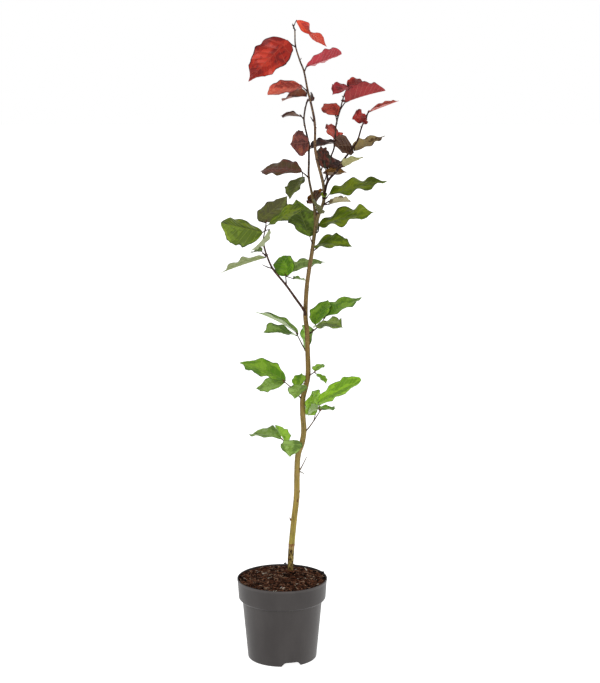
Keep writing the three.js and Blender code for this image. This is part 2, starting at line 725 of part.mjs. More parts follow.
// Drainage notches: tapering slots through the foot of the wall into the floor.
function notches() {
  const outline = new THREE.Shape([
    new THREE.Vector2(-NOTCH.foot / 2, -1),
    new THREE.Vector2(NOTCH.foot / 2, -1),
    new THREE.Vector2(NOTCH.head / 2, NOTCH.height),
    new THREE.Vector2(-NOTCH.head / 2, NOTCH.height),
  ]);
  const slots = [];
  for (let i = 0; i < NOTCH.count; i += 1) {
    const slot = new THREE.ExtrudeGeometry(outline, { depth: NOTCH.outer - NOTCH.inner, bevelEnabled: false });
    slot.rotateX(Math.PI / 2);
    slot.translate(0, -NOTCH.inner, 0);
    slot.rotateZ(rad(NOTCH.first + 90 + 360 * i / NOTCH.count));
    slots.push(solidOf(slot));
  }
  return fuse(slots);
}

function potSolid() {
  return spun([...POT_OUTSIDE, ...POT_INSIDE], POT_FACETS).subtract(notches());
}

function compostSolid() {
  const wall = POT_INSIDE.slice(1).reverse();
  const inside = wall.map(([radius, height]) => [radius - CLEARANCE, height + CLEARANCE]);
  const filling = spun([...inside, ...COMPOST_TOP], POT_FACETS);
  const [x, y] = LIMBS.trunk.foot;
  return filling.add(spun(MOUND, MOUND_FACETS).translate([x, y, 0]));
}

// ---- Assembly ----------------------------------------------------------------------------

const plant = new THREE.Group();
plant.name = 'copper_beech_whip';

function include(name, solid, finish) {
  const material = new THREE.MeshStandardMaterial(FINISHES[finish]);
  const mesh = new THREE.Mesh(geometryOf(solid), material);
  mesh.name = name;
  plant.add(mesh);
}

include('pot', potSolid(), 'pot');
include('compost', compostSolid(), 'compost');

const sleeves = {};
for (const [name, limb] of Object.entries(LIMBS)) {
  sleeves[name] = sleeve(name);
  include(name, limbSolid(name), limb.finish);
}

const grown = [];
let firstKey = 0;
for (const spray of SPRAYS) {
  const solid = spraySolid(spray, firstKey, sleeves, grown);
  include(`foliage_${spray.name}`, solid, spray.tint);
  grown.push(solid);
  firstKey += spray.leaves.length;
}

export default plant;
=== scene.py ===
"""Dresses a young copper beech whip that stands in a plastic nursery pot.

The stem, boughs, side shoots and leaves grow from the same tables and by the same rule as the
solids of the part, carried on to bark relief, buds, vein pleats and thin blades. Lengths in the
tables are millimetres; everything that reaches Blender is metres.
"""

from __future__ import annotations

import logging
import math
from dataclasses import dataclass, field
from enum import Enum

import bpy
import numpy as np
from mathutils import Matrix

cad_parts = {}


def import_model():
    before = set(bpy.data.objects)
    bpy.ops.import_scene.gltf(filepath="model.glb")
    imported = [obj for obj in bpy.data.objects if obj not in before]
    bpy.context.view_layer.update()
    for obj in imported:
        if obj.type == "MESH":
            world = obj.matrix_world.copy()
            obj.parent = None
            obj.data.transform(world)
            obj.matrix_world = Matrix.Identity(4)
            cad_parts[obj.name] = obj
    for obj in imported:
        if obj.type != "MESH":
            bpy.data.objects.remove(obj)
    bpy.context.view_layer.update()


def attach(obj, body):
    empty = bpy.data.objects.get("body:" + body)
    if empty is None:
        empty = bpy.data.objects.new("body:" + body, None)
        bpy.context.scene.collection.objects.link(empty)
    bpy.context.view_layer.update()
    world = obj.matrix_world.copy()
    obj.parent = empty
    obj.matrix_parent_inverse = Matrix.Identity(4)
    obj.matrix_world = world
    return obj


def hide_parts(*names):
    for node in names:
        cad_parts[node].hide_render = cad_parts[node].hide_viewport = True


LOG = logging.getLogger("copper_beech")
MM = 0.001
UP = np.array([0.0, 0.0, 1.0])

Vec = tuple[float, float, float]
Pair = tuple[float, float]
Socket = bpy.types.NodeSocket


# ---- Arithmetic --------------------------------------------------------------------------


def linear(colour: str, alpha: float = 1.0) -> tuple[float, float, float, float]:
    """Turns an sRGB hex colour into linear light.

    Args:
        colour: Six hex digits, red first.
        alpha: Opacity that is passed on unchanged.

    Returns:
        Linear red, green and blue, and alpha.
    """
    srgb = np.array([int(colour[i : i + 2], 16) for i in (0, 2, 4)]) / 255
    light = np.where(srgb <= 0.04045, srgb / 12.92, ((srgb + 0.055) / 1.055) ** 2.4)
    return (float(light[0]), float(light[1]), float(light[2]), alpha)


def blend(first: str, second: str, share: float) -> str:
    """Mixes two hex colours.

    Args:
        first: Colour that a share of 0 gives.
        second: Colour that a share of 1 gives.
        share: Share of the second colour.

    Returns:
        The mixed hex colour.
    """
    pairs = zip(bytes.fromhex(first), bytes.fromhex(second))
    return bytes(round(a + (b - a) * share) for a, b in pairs).hex()


def dice(key: np.ndarray | float, roll: np.ndarray | float) -> np.ndarray | float:
    """Gives a repeatable number from 0 to 1: the fraction of a large multiple of a sine.

    Args:
        key: Number of the thing that is thrown for.
        roll: Number of the use that is made of it.

    Returns:
        The thrown number, of the shape of the two arguments.
    """
    thrown = np.sin(key * 12.9898 + roll * 78.233 + 1) * 43758.5453
    return thrown - np.floor(thrown)


def drift(x: np.ndarray, y: np.ndarray, key: float) -> np.ndarray:
    """Value noise: a number thrown at each corner of a unit grid, blended by a smooth step.

    Args:
        x: First coordinate.
        y: Second coordinate.
        key: Number that picks one pattern.

    Returns:
        Noise from 0 to 1.
    """
    left, low = np.floor(x), np.floor(y)
    across, along = x - left, y - low
    across = across * across * (3 - 2 * across)
    along = along * along * (3 - 2 * along)
    corner = [[dice(left + i + 57 * (low + j), key) for i in (0, 1)] for j in (0, 1)]
    bottom = corner[0][0] * (1 - across) + corner[0][1] * across
    top = corner[1][0] * (1 - across) + corner[1][1] * across
    return bottom * (1 - along) + top * along


def unit(vector: np.ndarray) -> np.ndarray:
    """The vectors of the last axis, brought to length 1."""
    return vector / np.maximum(np.linalg.norm(vector, axis=-1, keepdims=True), 1e-12)


def climb(start: np.ndarray, steps: tuple[Vec, ...]) -> np.ndarray:
    """Adds up steps from a start: each point is the one before it plus its own step."""
    return np.vstack([start, start + np.cumsum(np.array(steps, float), axis=0)])


def travelled(path: np.ndarray) -> np.ndarray:
    """Distance from the first point of a path to each of its points."""
    return np.r_[0, np.cumsum(np.linalg.norm(np.diff(path, axis=0), axis=1))]


def curve_through(points: np.ndarray, per_step: int) -> np.ndarray:
    """Draws a Catmull-Rom curve: cubics from point to point, with the chord of the neighbours as slope.

    Args:
        points: Points that the curve passes.
        per_step: Samples between one point and the next.

    Returns:
        Points along the curve.
    """
    ends = [2 * points[0] - points[1], 2 * points[-1] - points[-2]]
    fence = np.vstack([ends[0], points, ends[1]])
    u = np.linspace(0, len(points) - 1, per_step * (len(points) - 1) + 1)
    i = np.minimum(u.astype(int), len(points) - 2)
    f = (u - i)[:, None]
    a, b, c, d = fence[i], fence[i + 1], fence[i + 2], fence[i + 3]
    return 0.5 * (2 * b + (c - a) * f + (2 * a - 5 * b + 4 * c - d) * f**2 + (3 * b - a - 3 * c + d) * f**3)


# ---- Meshes ------------------------------------------------------------------------------

NO_CORNER = -1


@dataclass
class Skin:
    """Closed surfaces gathered into one piece.

    A face has four corners, and the last one of a triangle is NO_CORNER.
    """

    points: list[np.ndarray] = field(default_factory=list)
    faces: list[np.ndarray] = field(default_factory=list)
    zones: list[np.ndarray] = field(default_factory=list)
    marks: list[np.ndarray] = field(default_factory=list)
    count: int = 0

    def add(
        self,
        points: np.ndarray,
        faces: np.ndarray,
        zones: np.ndarray | int = 0,
        marks: np.ndarray | float = 0.0,
    ) -> None:
        """Adds one surface.

        Args:
            points: Corners in millimetres.
            faces: Four corner numbers for each face.
            zones: Material number of each face.
            marks: A value for each corner, which a material may read.
        """
        self.points.append(points.reshape(-1, 3))
        self.faces.append(np.where(faces == NO_CORNER, NO_CORNER, faces + self.count))
        self.zones.append(np.broadcast_to(zones, len(faces)).astype(np.int32))
        self.marks.append(np.broadcast_to(marks, len(self.points[-1])).astype(np.float32))
        self.count += len(self.points[-1])

    def build(
        self,
        name: str,
        materials: list[bpy.types.Material],
        crease: float | None = None,
        mark: str | None = None,
    ) -> bpy.types.Object:
        """Makes the piece's mesh and object.

        Args:
            name: Name of the piece.
            materials: Materials in the order of the zones.
            crease: Angle in degrees above which an edge is sharp; smooth everywhere if None.
            mark: Name of the attribute that takes the marks.

        Returns:
            The new object, at the origin.
        """
        faces = np.vstack(self.faces)
        filled = faces != NO_CORNER
        mesh = bpy.data.meshes.new(name)
        mesh.vertices.add(self.count)
        mesh.vertices.foreach_set("co", (np.vstack(self.points) * MM).ravel())
        mesh.loops.add(int(filled.sum()))
        mesh.loops.foreach_set("vertex_index", faces[filled].astype(np.int32))
        mesh.polygons.add(len(faces))
        sizes = filled.sum(axis=1)
        mesh.polygons.foreach_set("loop_start", np.r_[0, np.cumsum(sizes)[:-1]].astype(np.int32))
        mesh.polygons.foreach_set("material_index", np.concatenate(self.zones))
        mesh.polygons.foreach_set("use_smooth", np.ones(len(faces), bool))
        for material in materials:
            mesh.materials.append(material)
        if mark:
            values = mesh.attributes.new(mark, "FLOAT", "POINT")
            values.data.foreach_set("value", np.concatenate(self.marks))
        mesh.update(calc_edges=True)
        mesh.validate()
        if crease is not None:
            mesh.set_sharp_from_angle(angle=math.radians(crease))
        piece = bpy.data.objects.new(name, mesh)
        bpy.context.scene.collection.objects.link(piece)
        return piece


def ring_faces(rings: int, around: int) -> np.ndarray:
    """Faces of a closed row of rings: each joins a side of one ring to the same side of the next.

    Args:
        rings: Number of rings.
        around: Corners of a ring.

    Returns:
        Four corner numbers for each face, facing outwards.
    """
    i, j = np.meshgrid(np.arange(rings - 1), np.arange(around), indexing="ij")
    k = (j + 1) % around
    corners = [i * around + j, i * around + k, (i + 1) * around + k, (i + 1) * around + j]
    return np.stack(corners, axis=-1).reshape(-1, 4)


def fan_faces(first: int, around: int, centre: int, forwards: bool) -> np.ndarray:
    """Triangles that close a ring onto a centre point.

    Args:
        first: Number of the ring's first corner.
        around: Corners of the ring.
        centre: Number of the centre point.
        forwards: Whether the cap faces along the row of rings.

    Returns:
        Corner numbers, the fourth being NO_CORNER.
    """
    j = np.arange(around)
    here, there = first + j, first + (j + 1) % around
    pair = (here, there) if forwards else (there, here)
    return np.stack([np.full(around, centre), *pair, np.full(around, NO_CORNER)], axis=-1)


def capped_faces(rings: int, around: int) -> np.ndarray:
    """Faces of a row of rings, closed at each end by a fan onto one of the two points that follow them.

    Args:
        rings: Number of rings.
        around: Corners of a ring.

    Returns:
        Corner numbers of each face, the fourth of a triangle being NO_CORNER.
    """
    last = rings * around
    first_cap = fan_faces(0, around, last, False)
    last_cap = fan_faces(last - around, around, last + 1, True)
    return np.vstack([ring_faces(rings, around), first_cap, last_cap])


def tube(path: np.ndarray, radii: np.ndarray, around: int) -> tuple[np.ndarray, np.ndarray]:
    """Carries a circle along a path: point = centre + radius (side cos a + over sin a), ends closed by fans.

    Args:
        path: Centres of the rings.
        radii: Radius of each ring, or of each corner of each ring.
        around: Corners of a ring.

    Returns:
        Points and faces of the closed surface.
    """
    along = unit(np.gradient(path, axis=0))
    aside = np.eye(3)[np.argmin(np.abs(along.mean(axis=0)))]
    side = unit(aside - (along @ aside)[:, None] * along)
    over = np.cross(along, side)
    turn = np.linspace(0, 2 * np.pi, around, endpoint=False)
    spoke = side[:, None] * np.cos(turn)[None, :, None] + over[:, None] * np.sin(turn)[None, :, None]
    reach = radii[:, None] if radii.ndim == 1 else radii
    rings = path[:, None] + spoke * reach[..., None]
    points = np.vstack([rings.reshape(-1, 3), path[0], path[-1]])
    return points, capped_faces(len(path), around)


def hoops(radii: np.ndarray, heights: np.ndarray, around: int) -> np.ndarray:
    """Level rings round the upright axis: point = (r cos a, r sin a, z).

    Args:
        radii: Radius of each ring.
        heights: Height of each ring.
        around: Corners of a ring.

    Returns:
        Points, of rings x corners x 3.
    """
    turn = np.linspace(0, 2 * np.pi, around, endpoint=False)
    level = np.broadcast_to(heights[:, None], (len(radii), around))
    return np.stack([radii[:, None] * np.cos(turn), radii[:, None] * np.sin(turn), level], axis=-1)


def spun(radii: np.ndarray, heights: np.ndarray, around: int) -> tuple[np.ndarray, np.ndarray]:
    """Spins an outline round the upright axis into level rings, and closes the poles by fans.

    Args:
        radii: Radius of each point of the outline, from its lowest middle to its highest middle.
        heights: Height of each point of the outline.
        around: Corners of a ring.

    Returns:
        Points and faces of the closed surface.
    """
    poles = [[0, 0, heights[0]], [0, 0, heights[-1]]]
    points = np.vstack([hoops(radii, heights, around).reshape(-1, 3), poles])
    return points, capped_faces(len(radii), around)


def dress(piece: bpy.types.Object, slot: str, *nodes: str) -> bpy.types.Object:
    """Lets a piece ride on the body and stand for the nodes that it replaces.

    Args:
        piece: Finished piece.
        slot: Name of its material slot; not used.
        nodes: Nodes of the part that it stands for, if any.

    Returns:
        The same piece.
    """
    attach(piece, "root")
    if nodes:
        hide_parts(*nodes)
    LOG.info("%s: %d faces, stands for %d nodes", piece.name, len(piece.data.polygons), len(nodes))
    return piece


# ---- Finishes ----------------------------------------------------------------------------


def add_node(
    tree: bpy.types.NodeTree, kind: str, inputs: dict | None = None, **settings: object
) -> bpy.types.Node:
    """Adds a shader node with its settings and links.

    Args:
        tree: Node tree of a material or world.
        kind: Blender's name of the node type.
        inputs: A value, or a socket to link from, for each named or numbered input.
        settings: Fields of the node itself.

    Returns:
        The new node.
    """
    made = tree.nodes.new(kind)
    for field_name, value in settings.items():
        setattr(made, field_name, value)
    for socket_name, value in (inputs or {}).items():
        socket = made.inputs[socket_name]
        if isinstance(value, Socket):
            tree.links.new(value, socket)
        else:
            socket.default_value = value
    return made


def cells(width: float) -> float:
    """Scale of a noise on Object coordinates whose cells are so many millimetres wide: 1 / metres."""
    return 1 / (width * MM)


def blank_material(name: str, inputs: dict) -> tuple[bpy.types.Material, bpy.types.Node]:
    """Makes a material with one Principled shader.

    Args:
        name: Name of the material.
        inputs: Values of the shader's own sockets.

    Returns:
        The material and its shader node.
    """
    material = bpy.data.materials.new(name)
    material.use_nodes = True
    tree = material.node_tree
    tree.nodes.clear()
    shader = add_node(tree, "ShaderNodeBsdfPrincipled", inputs)
    add_node(tree, "ShaderNodeOutputMaterial", {"Surface": shader.outputs["BSDF"]})
    return material, shader


@dataclass(frozen=True)
class RampStop:
    """One colour of a ramp at a share of its length."""

    at: float
    colour: str


def add_ramp(tree: bpy.types.NodeTree, factor: Socket, stops: tuple[RampStop, ...]) -> Socket:
    """Adds a colour ramp.

    Args:
        tree: Node tree of the material.
        factor: Socket that runs along the ramp.
        stops: Colours in rising order.

    Returns:
        The ramp's colour socket.
    """
    ramp = add_node(tree, "ShaderNodeValToRGB", {"Fac": factor})
    elements = ramp.color_ramp.elements
    while len(elements) < len(stops):
        elements.new(0.5)
    for element, stop in zip(elements, stops):
        element.position = stop.at
        element.color = linear(stop.colour)
    return ramp.outputs["Color"]


@dataclass(frozen=True)
class BladeFinish:
    """Living beech leaf: a thin waxed skin, so it has a soft sheen that never hides its own colour."""

    roughness: float = 0.38
    specular: float = 0.35
    ior: float = 1.42

    def material(self, name: str, colour: str) -> bpy.types.Material:
        """Makes one plain leaf colour.

        Args:
            name: Name of the material.
            colour: sRGB hex value of the base colour.

        Returns:
            The material.
        """
        inputs = {
            "Base Color": linear(colour),
            "Roughness": self.roughness,
            "Specular IOR Level": self.specular,
            "IOR": self.ior,
        }
        return blank_material(name, inputs)[0]


@dataclass(frozen=True)
class RootstockFinish:
    """The older bark under the graft: dark flecks on yellow, rusty in a band below the scar.

    The width of a fleck is in millimetres, and heights and depths are in metres.
    """

    top: float = 0.2135
    flecks: tuple[RampStop, ...] = (
        RampStop(0.40, "2c1b08"), RampStop(0.47, "6e5626"), RampStop(0.53, "a28d46"),
        RampStop(0.64, "d8ca86"),
    )
    rust: str = "7c421f"
    rust_depth: float = 0.015
    rust_fade: float = 0.15
    rust_share: float = 0.75
    fleck: float = 3.7
    fleck_stretch: float = 0.45
    edge_wander: float = 0.004
    edge: Pair = (0.0018, 0.0024)

    def laid_over(
        self, tree: bpy.types.NodeTree, place: Socket, height: Socket, above: Socket
    ) -> Socket:
        """Lays the older bark over the colour of the bark above, up to the graft.

        Args:
            tree: Node tree of the bark.
            place: Place on the stem.
            height: Height above the ground in metres.
            above: Colour of the bark above the graft.

        Returns:
            The colour of both.
        """
        stretch = (1.0, 1.0, self.fleck_stretch)
        drawn = add_node(tree, "ShaderNodeMapping", {"Vector": place, "Scale": stretch})
        grain = add_node(
            tree,
            "ShaderNodeTexNoise",
            {"Vector": drawn.outputs["Vector"], "Scale": cells(self.fleck), "Detail": 4.0, "Roughness": 0.7},
        )
        old = add_ramp(tree, grain.outputs["Fac"], self.flecks)
        low, high = self.top - self.rust_depth, self.top - self.rust_fade * self.rust_depth
        band = add_node(
            tree,
            "ShaderNodeMapRange",
            {"Value": height, "From Min": low, "From Max": high, "To Max": self.rust_share},
        )
        rusty = add_node(
            tree,
            "ShaderNodeMix",
            {0: band.outputs["Result"], 6: old, 7: linear(self.rust)},
            data_type="RGBA",
        )
        uneven = add_node(
            tree, "ShaderNodeMath", {0: grain.outputs["Fac"], 1: self.edge_wander}, operation="MULTIPLY"
        )
        edge = add_node(tree, "ShaderNodeMath", {0: height, 1: uneven.outputs[0]}, operation="ADD")
        share = add_node(
            tree,
            "ShaderNodeMapRange",
            {
                "Value": edge.outputs[0],
                "From Min": self.top + self.edge[0],
                "From Max": self.top + self.edge[1],
                "To Min": 1.0,
                "To Max": 0.0,
            },
        )
        both = add_node(
            tree,
            "ShaderNodeMix",
            {0: share.outputs["Result"], 6: above, 7: rusty.outputs[2]},
            data_type="RGBA",
        )
        return both.outputs[2]


@dataclass(frozen=True)
class BarkFinish:
    """Young beech bark: a smooth tight skin with pale corky dots, satin, browner towards the light.

    The widths of a streak and of a blotch are in millimetres, and heights are in metres.
    """

    stops: tuple[RampStop, ...]
    dot: str
    low: float
    high: float
    roughness: float = 0.55
    specular: float = 0.25
    streak: float = 3.85
    streak_stretch: float = 0.12
    streak_span: Pair = (0.3, 0.7)
    streak_tones: Pair = (0.55, 1.25)
    blotch: float = 10.53
    wander: float = 0.05
    relief: float = 0.35
    relief_depth: float = 0.0006
    rootstock: RootstockFinish | None = None

    def material(self, name: str) -> bpy.types.Material:
        """Builds the bark: a ramp of colours up the plant, shifted by streaks, with the dots laid over it.

        Args:
            name: Name of the material.

        Returns:
            The material.
        """
        material, shader = blank_material(
            name, {"Roughness": self.roughness, "Specular IOR Level": self.specular}
        )
        tree = material.node_tree
        place = add_node(tree, "ShaderNodeTexCoord").outputs["Object"]
        split = add_node(tree, "ShaderNodeSeparateXYZ", {"Vector": place})
        height = add_node(
            tree,
            "ShaderNodeMapRange",
            {"Value": split.outputs["Z"], "From Min": self.low, "From Max": self.high},
        )
        # streaks run up the stem, about 4 mm apart round it and 30 mm long
        stretch = (1.0, 1.0, self.streak_stretch)
        stretched = add_node(tree, "ShaderNodeMapping", {"Vector": place, "Scale": stretch})
        streaks = add_node(
            tree,
            "ShaderNodeTexNoise",
            {"Vector": stretched.outputs["Vector"], "Scale": cells(self.streak), "Detail": 4.0},
        )
        blotches = add_node(
            tree, "ShaderNodeTexNoise", {"Vector": place, "Scale": cells(self.blotch), "Detail": 3.0}
        )
        shift = add_node(
            tree,
            "ShaderNodeMath",
            {0: height.outputs["Result"], 1: blotches.outputs["Fac"]},
            operation="ADD",
        )
        along = add_node(tree, "ShaderNodeMath", {0: shift.outputs[0], 1: -0.5}, operation="ADD")
        wander = add_node(
            tree,
            "ShaderNodeMix",
            {0: self.wander, 2: height.outputs["Result"], 3: along.outputs[0]},
            data_type="FLOAT",
        )
        colour = add_ramp(tree, wander.outputs[0], self.stops)
        tone = add_node(
            tree,
            "ShaderNodeMapRange",
            {
                "Value": streaks.outputs["Fac"],
                "From Min": self.streak_span[0],
                "From Max": self.streak_span[1],
                "To Min": self.streak_tones[0],
                "To Max": self.streak_tones[1],
            },
        )
        streaked = add_node(
            tree, "ShaderNodeVectorMath", {0: colour, "Scale": tone.outputs["Result"]}, operation="SCALE"
        )
        skin = streaked.outputs["Vector"]
        if self.rootstock:
            skin = self.rootstock.laid_over(tree, place, split.outputs["Z"], skin)
        dots = add_node(tree, "ShaderNodeAttribute", attribute_name="corky_dots")
        dotted = add_node(
            tree, "ShaderNodeMix", {0: dots.outputs["Fac"], 6: skin, 7: linear(self.dot)}, data_type="RGBA"
        )
        tree.links.new(dotted.outputs[2], shader.inputs["Base Color"])
        bump = add_node(
            tree,
            "ShaderNodeBump",
            {"Strength": self.relief, "Distance": self.relief_depth, "Height": streaks.outputs["Fac"]},
        )
        tree.links.new(bump.outputs["Normal"], shader.inputs["Normal"])
        return material


@dataclass(frozen=True)
class PotFinish:
    """Injection-moulded recycled polypropylene: dark grey, half matt, with a faint orange-peel skin and dust.

    Two rings have a tone of their own, as (height from, height to, tone): painted shade darkens the ring
    under the collar, and a painted highlight brightens the top of the lip. The widths of a patch and of the
    peel are in millimetres. The peel of the real mould is finer, and is drawn as coarse as it needs to show.
    """

    colour: str = "353130"
    dusty: str = "3f3b3a"
    # the darker ring under the collar is painted shade
    painted_shade_ring: tuple[float, float, float] = (0.1135, 0.1175, 0.78)
    # the paler ring along the top of the lip is a painted highlight
    painted_highlight_ring: tuple[float, float, float] = (0.1525, 0.1560, 1.6)
    ring_fade: float = 0.0012
    patch: float = 38.5
    patch_stretch: float = 0.35
    patch_span: Pair = (0.35, 0.75)
    peel: float = 1.54
    peel_relief: float = 0.12
    peel_depth: float = 0.0004
    roughness: float = 0.42
    specular: float = 0.27
    ior: float = 1.49

    def material(self, name: str) -> bpy.types.Material:
        """Builds the plastic: broad soft patches between the two greys and a skin of about 1.5 mm.

        Args:
            name: Name of the material.

        Returns:
            The material.
        """
        inputs = {"Roughness": self.roughness, "Specular IOR Level": self.specular, "IOR": self.ior}
        material, shader = blank_material(name, inputs)
        tree = material.node_tree
        place = add_node(tree, "ShaderNodeTexCoord").outputs["Object"]
        stretch = (1.0, 1.0, self.patch_stretch)
        flow = add_node(tree, "ShaderNodeMapping", {"Vector": place, "Scale": stretch})
        patches = add_node(
            tree,
            "ShaderNodeTexNoise",
            {"Vector": flow.outputs["Vector"], "Scale": cells(self.patch), "Detail": 3.0},
        )
        stops = (RampStop(self.patch_span[0], self.colour), RampStop(self.patch_span[1], self.dusty))
        colour = add_ramp(tree, patches.outputs["Fac"], stops)
        height = add_node(tree, "ShaderNodeSeparateXYZ", {"Vector": place}).outputs["Z"]
        # lays the painted shade under the collar, then the painted highlight along the top of the lip
        for low, high, tone in (self.painted_shade_ring, self.painted_highlight_ring):
            colour = self.toned(tree, colour, height, low, high, tone)
        tree.links.new(colour, shader.inputs["Base Color"])
        skin = add_node(
            tree, "ShaderNodeTexNoise", {"Vector": place, "Scale": cells(self.peel), "Detail": 2.0}
        )
        bump = add_node(
            tree,
            "ShaderNodeBump",
            {"Strength": self.peel_relief, "Distance": self.peel_depth, "Height": skin.outputs["Fac"]},
        )
        tree.links.new(bump.outputs["Normal"], shader.inputs["Normal"])
        return material

    def toned(
        self, tree: bpy.types.NodeTree, colour: Socket, height: Socket, low: float, high: float, tone: float
    ) -> Socket:
        """Multiplies a colour by a tone between two heights, with a soft edge outside each of them.

        Args:
            tree: Node tree of the material.
            colour: The colour so far.
            height: Height above the ground.
            low: Where the ring starts.
            high: Where it ends.
            tone: What the colour is multiplied by inside it.

        Returns:
            The colour with the ring laid over it.
        """
        above = add_node(
            tree, "ShaderNodeMapRange", {"Value": height, "From Min": low - self.ring_fade, "From Max": low}
        )
        below = add_node(
            tree, "ShaderNodeMapRange", {"Value": height, "From Min": high + self.ring_fade, "From Max": high}
        )
        inside = add_node(
            tree,
            "ShaderNodeMath",
            {0: above.outputs["Result"], 1: below.outputs["Result"]},
            operation="MULTIPLY",
        )
        ring = add_node(
            tree, "ShaderNodeMapRange", {"Value": inside.outputs[0], "To Min": 1.0, "To Max": tone}
        )
        scaled = add_node(
            tree, "ShaderNodeVectorMath", {0: colour, "Scale": ring.outputs["Result"]}, operation="SCALE"
        )
        return scaled.outputs["Vector"]


@dataclass(frozen=True)
class CompostFinish:
    """Moist shredded bark and fibre: dull and crumbly, dark where wet, each shred of its own brown.

    The width of a grain is in millimetres.
    """

    ground: tuple[RampStop, ...] = (
        RampStop(0.36, "060302"), RampStop(0.50, "20120c"), RampStop(0.62, "472a1d"),
        RampStop(0.78, "70472f"),
    )
    shreds: tuple[str, ...] = (
        "0f0806", "2a170f", "4e2d1e", "6e422d", "865940", "9a745e", "b89e86", "e6dccb",
    )
    grain: float = 4.35
    relief: float = 0.8
    relief_depth: float = 0.0015
    roughness: float = 0.85
    specular: float = 0.08

    def ground_material(self, name: str) -> bpy.types.Material:
        """Builds the bed: grains of 2 to 5 mm from nearly black to brown.

        Args:
            name: Name of the material.

        Returns:
            The material.
        """
        material, shader = blank_material(
            name, {"Roughness": self.roughness, "Specular IOR Level": self.specular}
        )
        tree = material.node_tree
        place = add_node(tree, "ShaderNodeTexCoord").outputs["Object"]
        grains = add_node(
            tree,
            "ShaderNodeTexNoise",
            {"Vector": place, "Scale": cells(self.grain), "Detail": 5.0, "Roughness": 0.65},
        )
        tree.links.new(add_ramp(tree, grains.outputs["Fac"], self.ground), shader.inputs["Base Color"])
        bump = add_node(
            tree,
            "ShaderNodeBump",
            {"Strength": self.relief, "Distance": self.relief_depth, "Height": grains.outputs["Fac"]},
        )
        tree.links.new(bump.outputs["Normal"], shader.inputs["Normal"])
        return material

    def shred_materials(self, name: str) -> list[bpy.types.Material]:
        """Makes a plain material for each colour of shred.

        Args:
            name: Start of the materials' names.

        Returns:
            The materials, darkest first.
        """
        rough = {"Roughness": self.roughness, "Specular IOR Level": self.specular}
        return [
            blank_material(f"{name}_{i}", {"Base Color": linear(colour), **rough})[0]
            for i, colour in enumerate(self.shreds)
        ]


class Zone(Enum):
    """The places on a leaf that have a colour of their own."""

    FACE = 0
    PATCH = 1
    SHADE = 2
    VEIN = 3
    EDGE = 4
    UNDER = 5
    UNDER_PATCH = 6
    UNDER_VEIN = 7


@dataclass(frozen=True)
class LeafDress:
    """Colours of one kind of leaf: its face with lighter patches and darker shade, its edge and underside."""

    slot: str
    face: str
    patch: str
    shade: str
    edge: str
    under: str
    vein_tone: str = "d8c8a0"
    vein_share: float = 0.16
    under_patch_share: float = 0.3
    under_vein_share: float = 0.25

    def colour(self, zone: Zone) -> str:
        """Gives a zone its colour. Veins and the mottling of the underside are mixed from the others.

        Args:
            zone: Place on the leaf.

        Returns:
            Its hex colour.
        """
        colours = {
            Zone.FACE: self.face,
            Zone.PATCH: self.patch,
            Zone.SHADE: self.shade,
            Zone.VEIN: blend(self.face, self.vein_tone, self.vein_share),
            Zone.EDGE: self.edge,
            Zone.UNDER: self.under,
            Zone.UNDER_PATCH: blend(self.under, self.shade, self.under_patch_share),
            Zone.UNDER_VEIN: blend(self.under, self.vein_tone, self.under_vein_share),
        }
        return colours[zone]


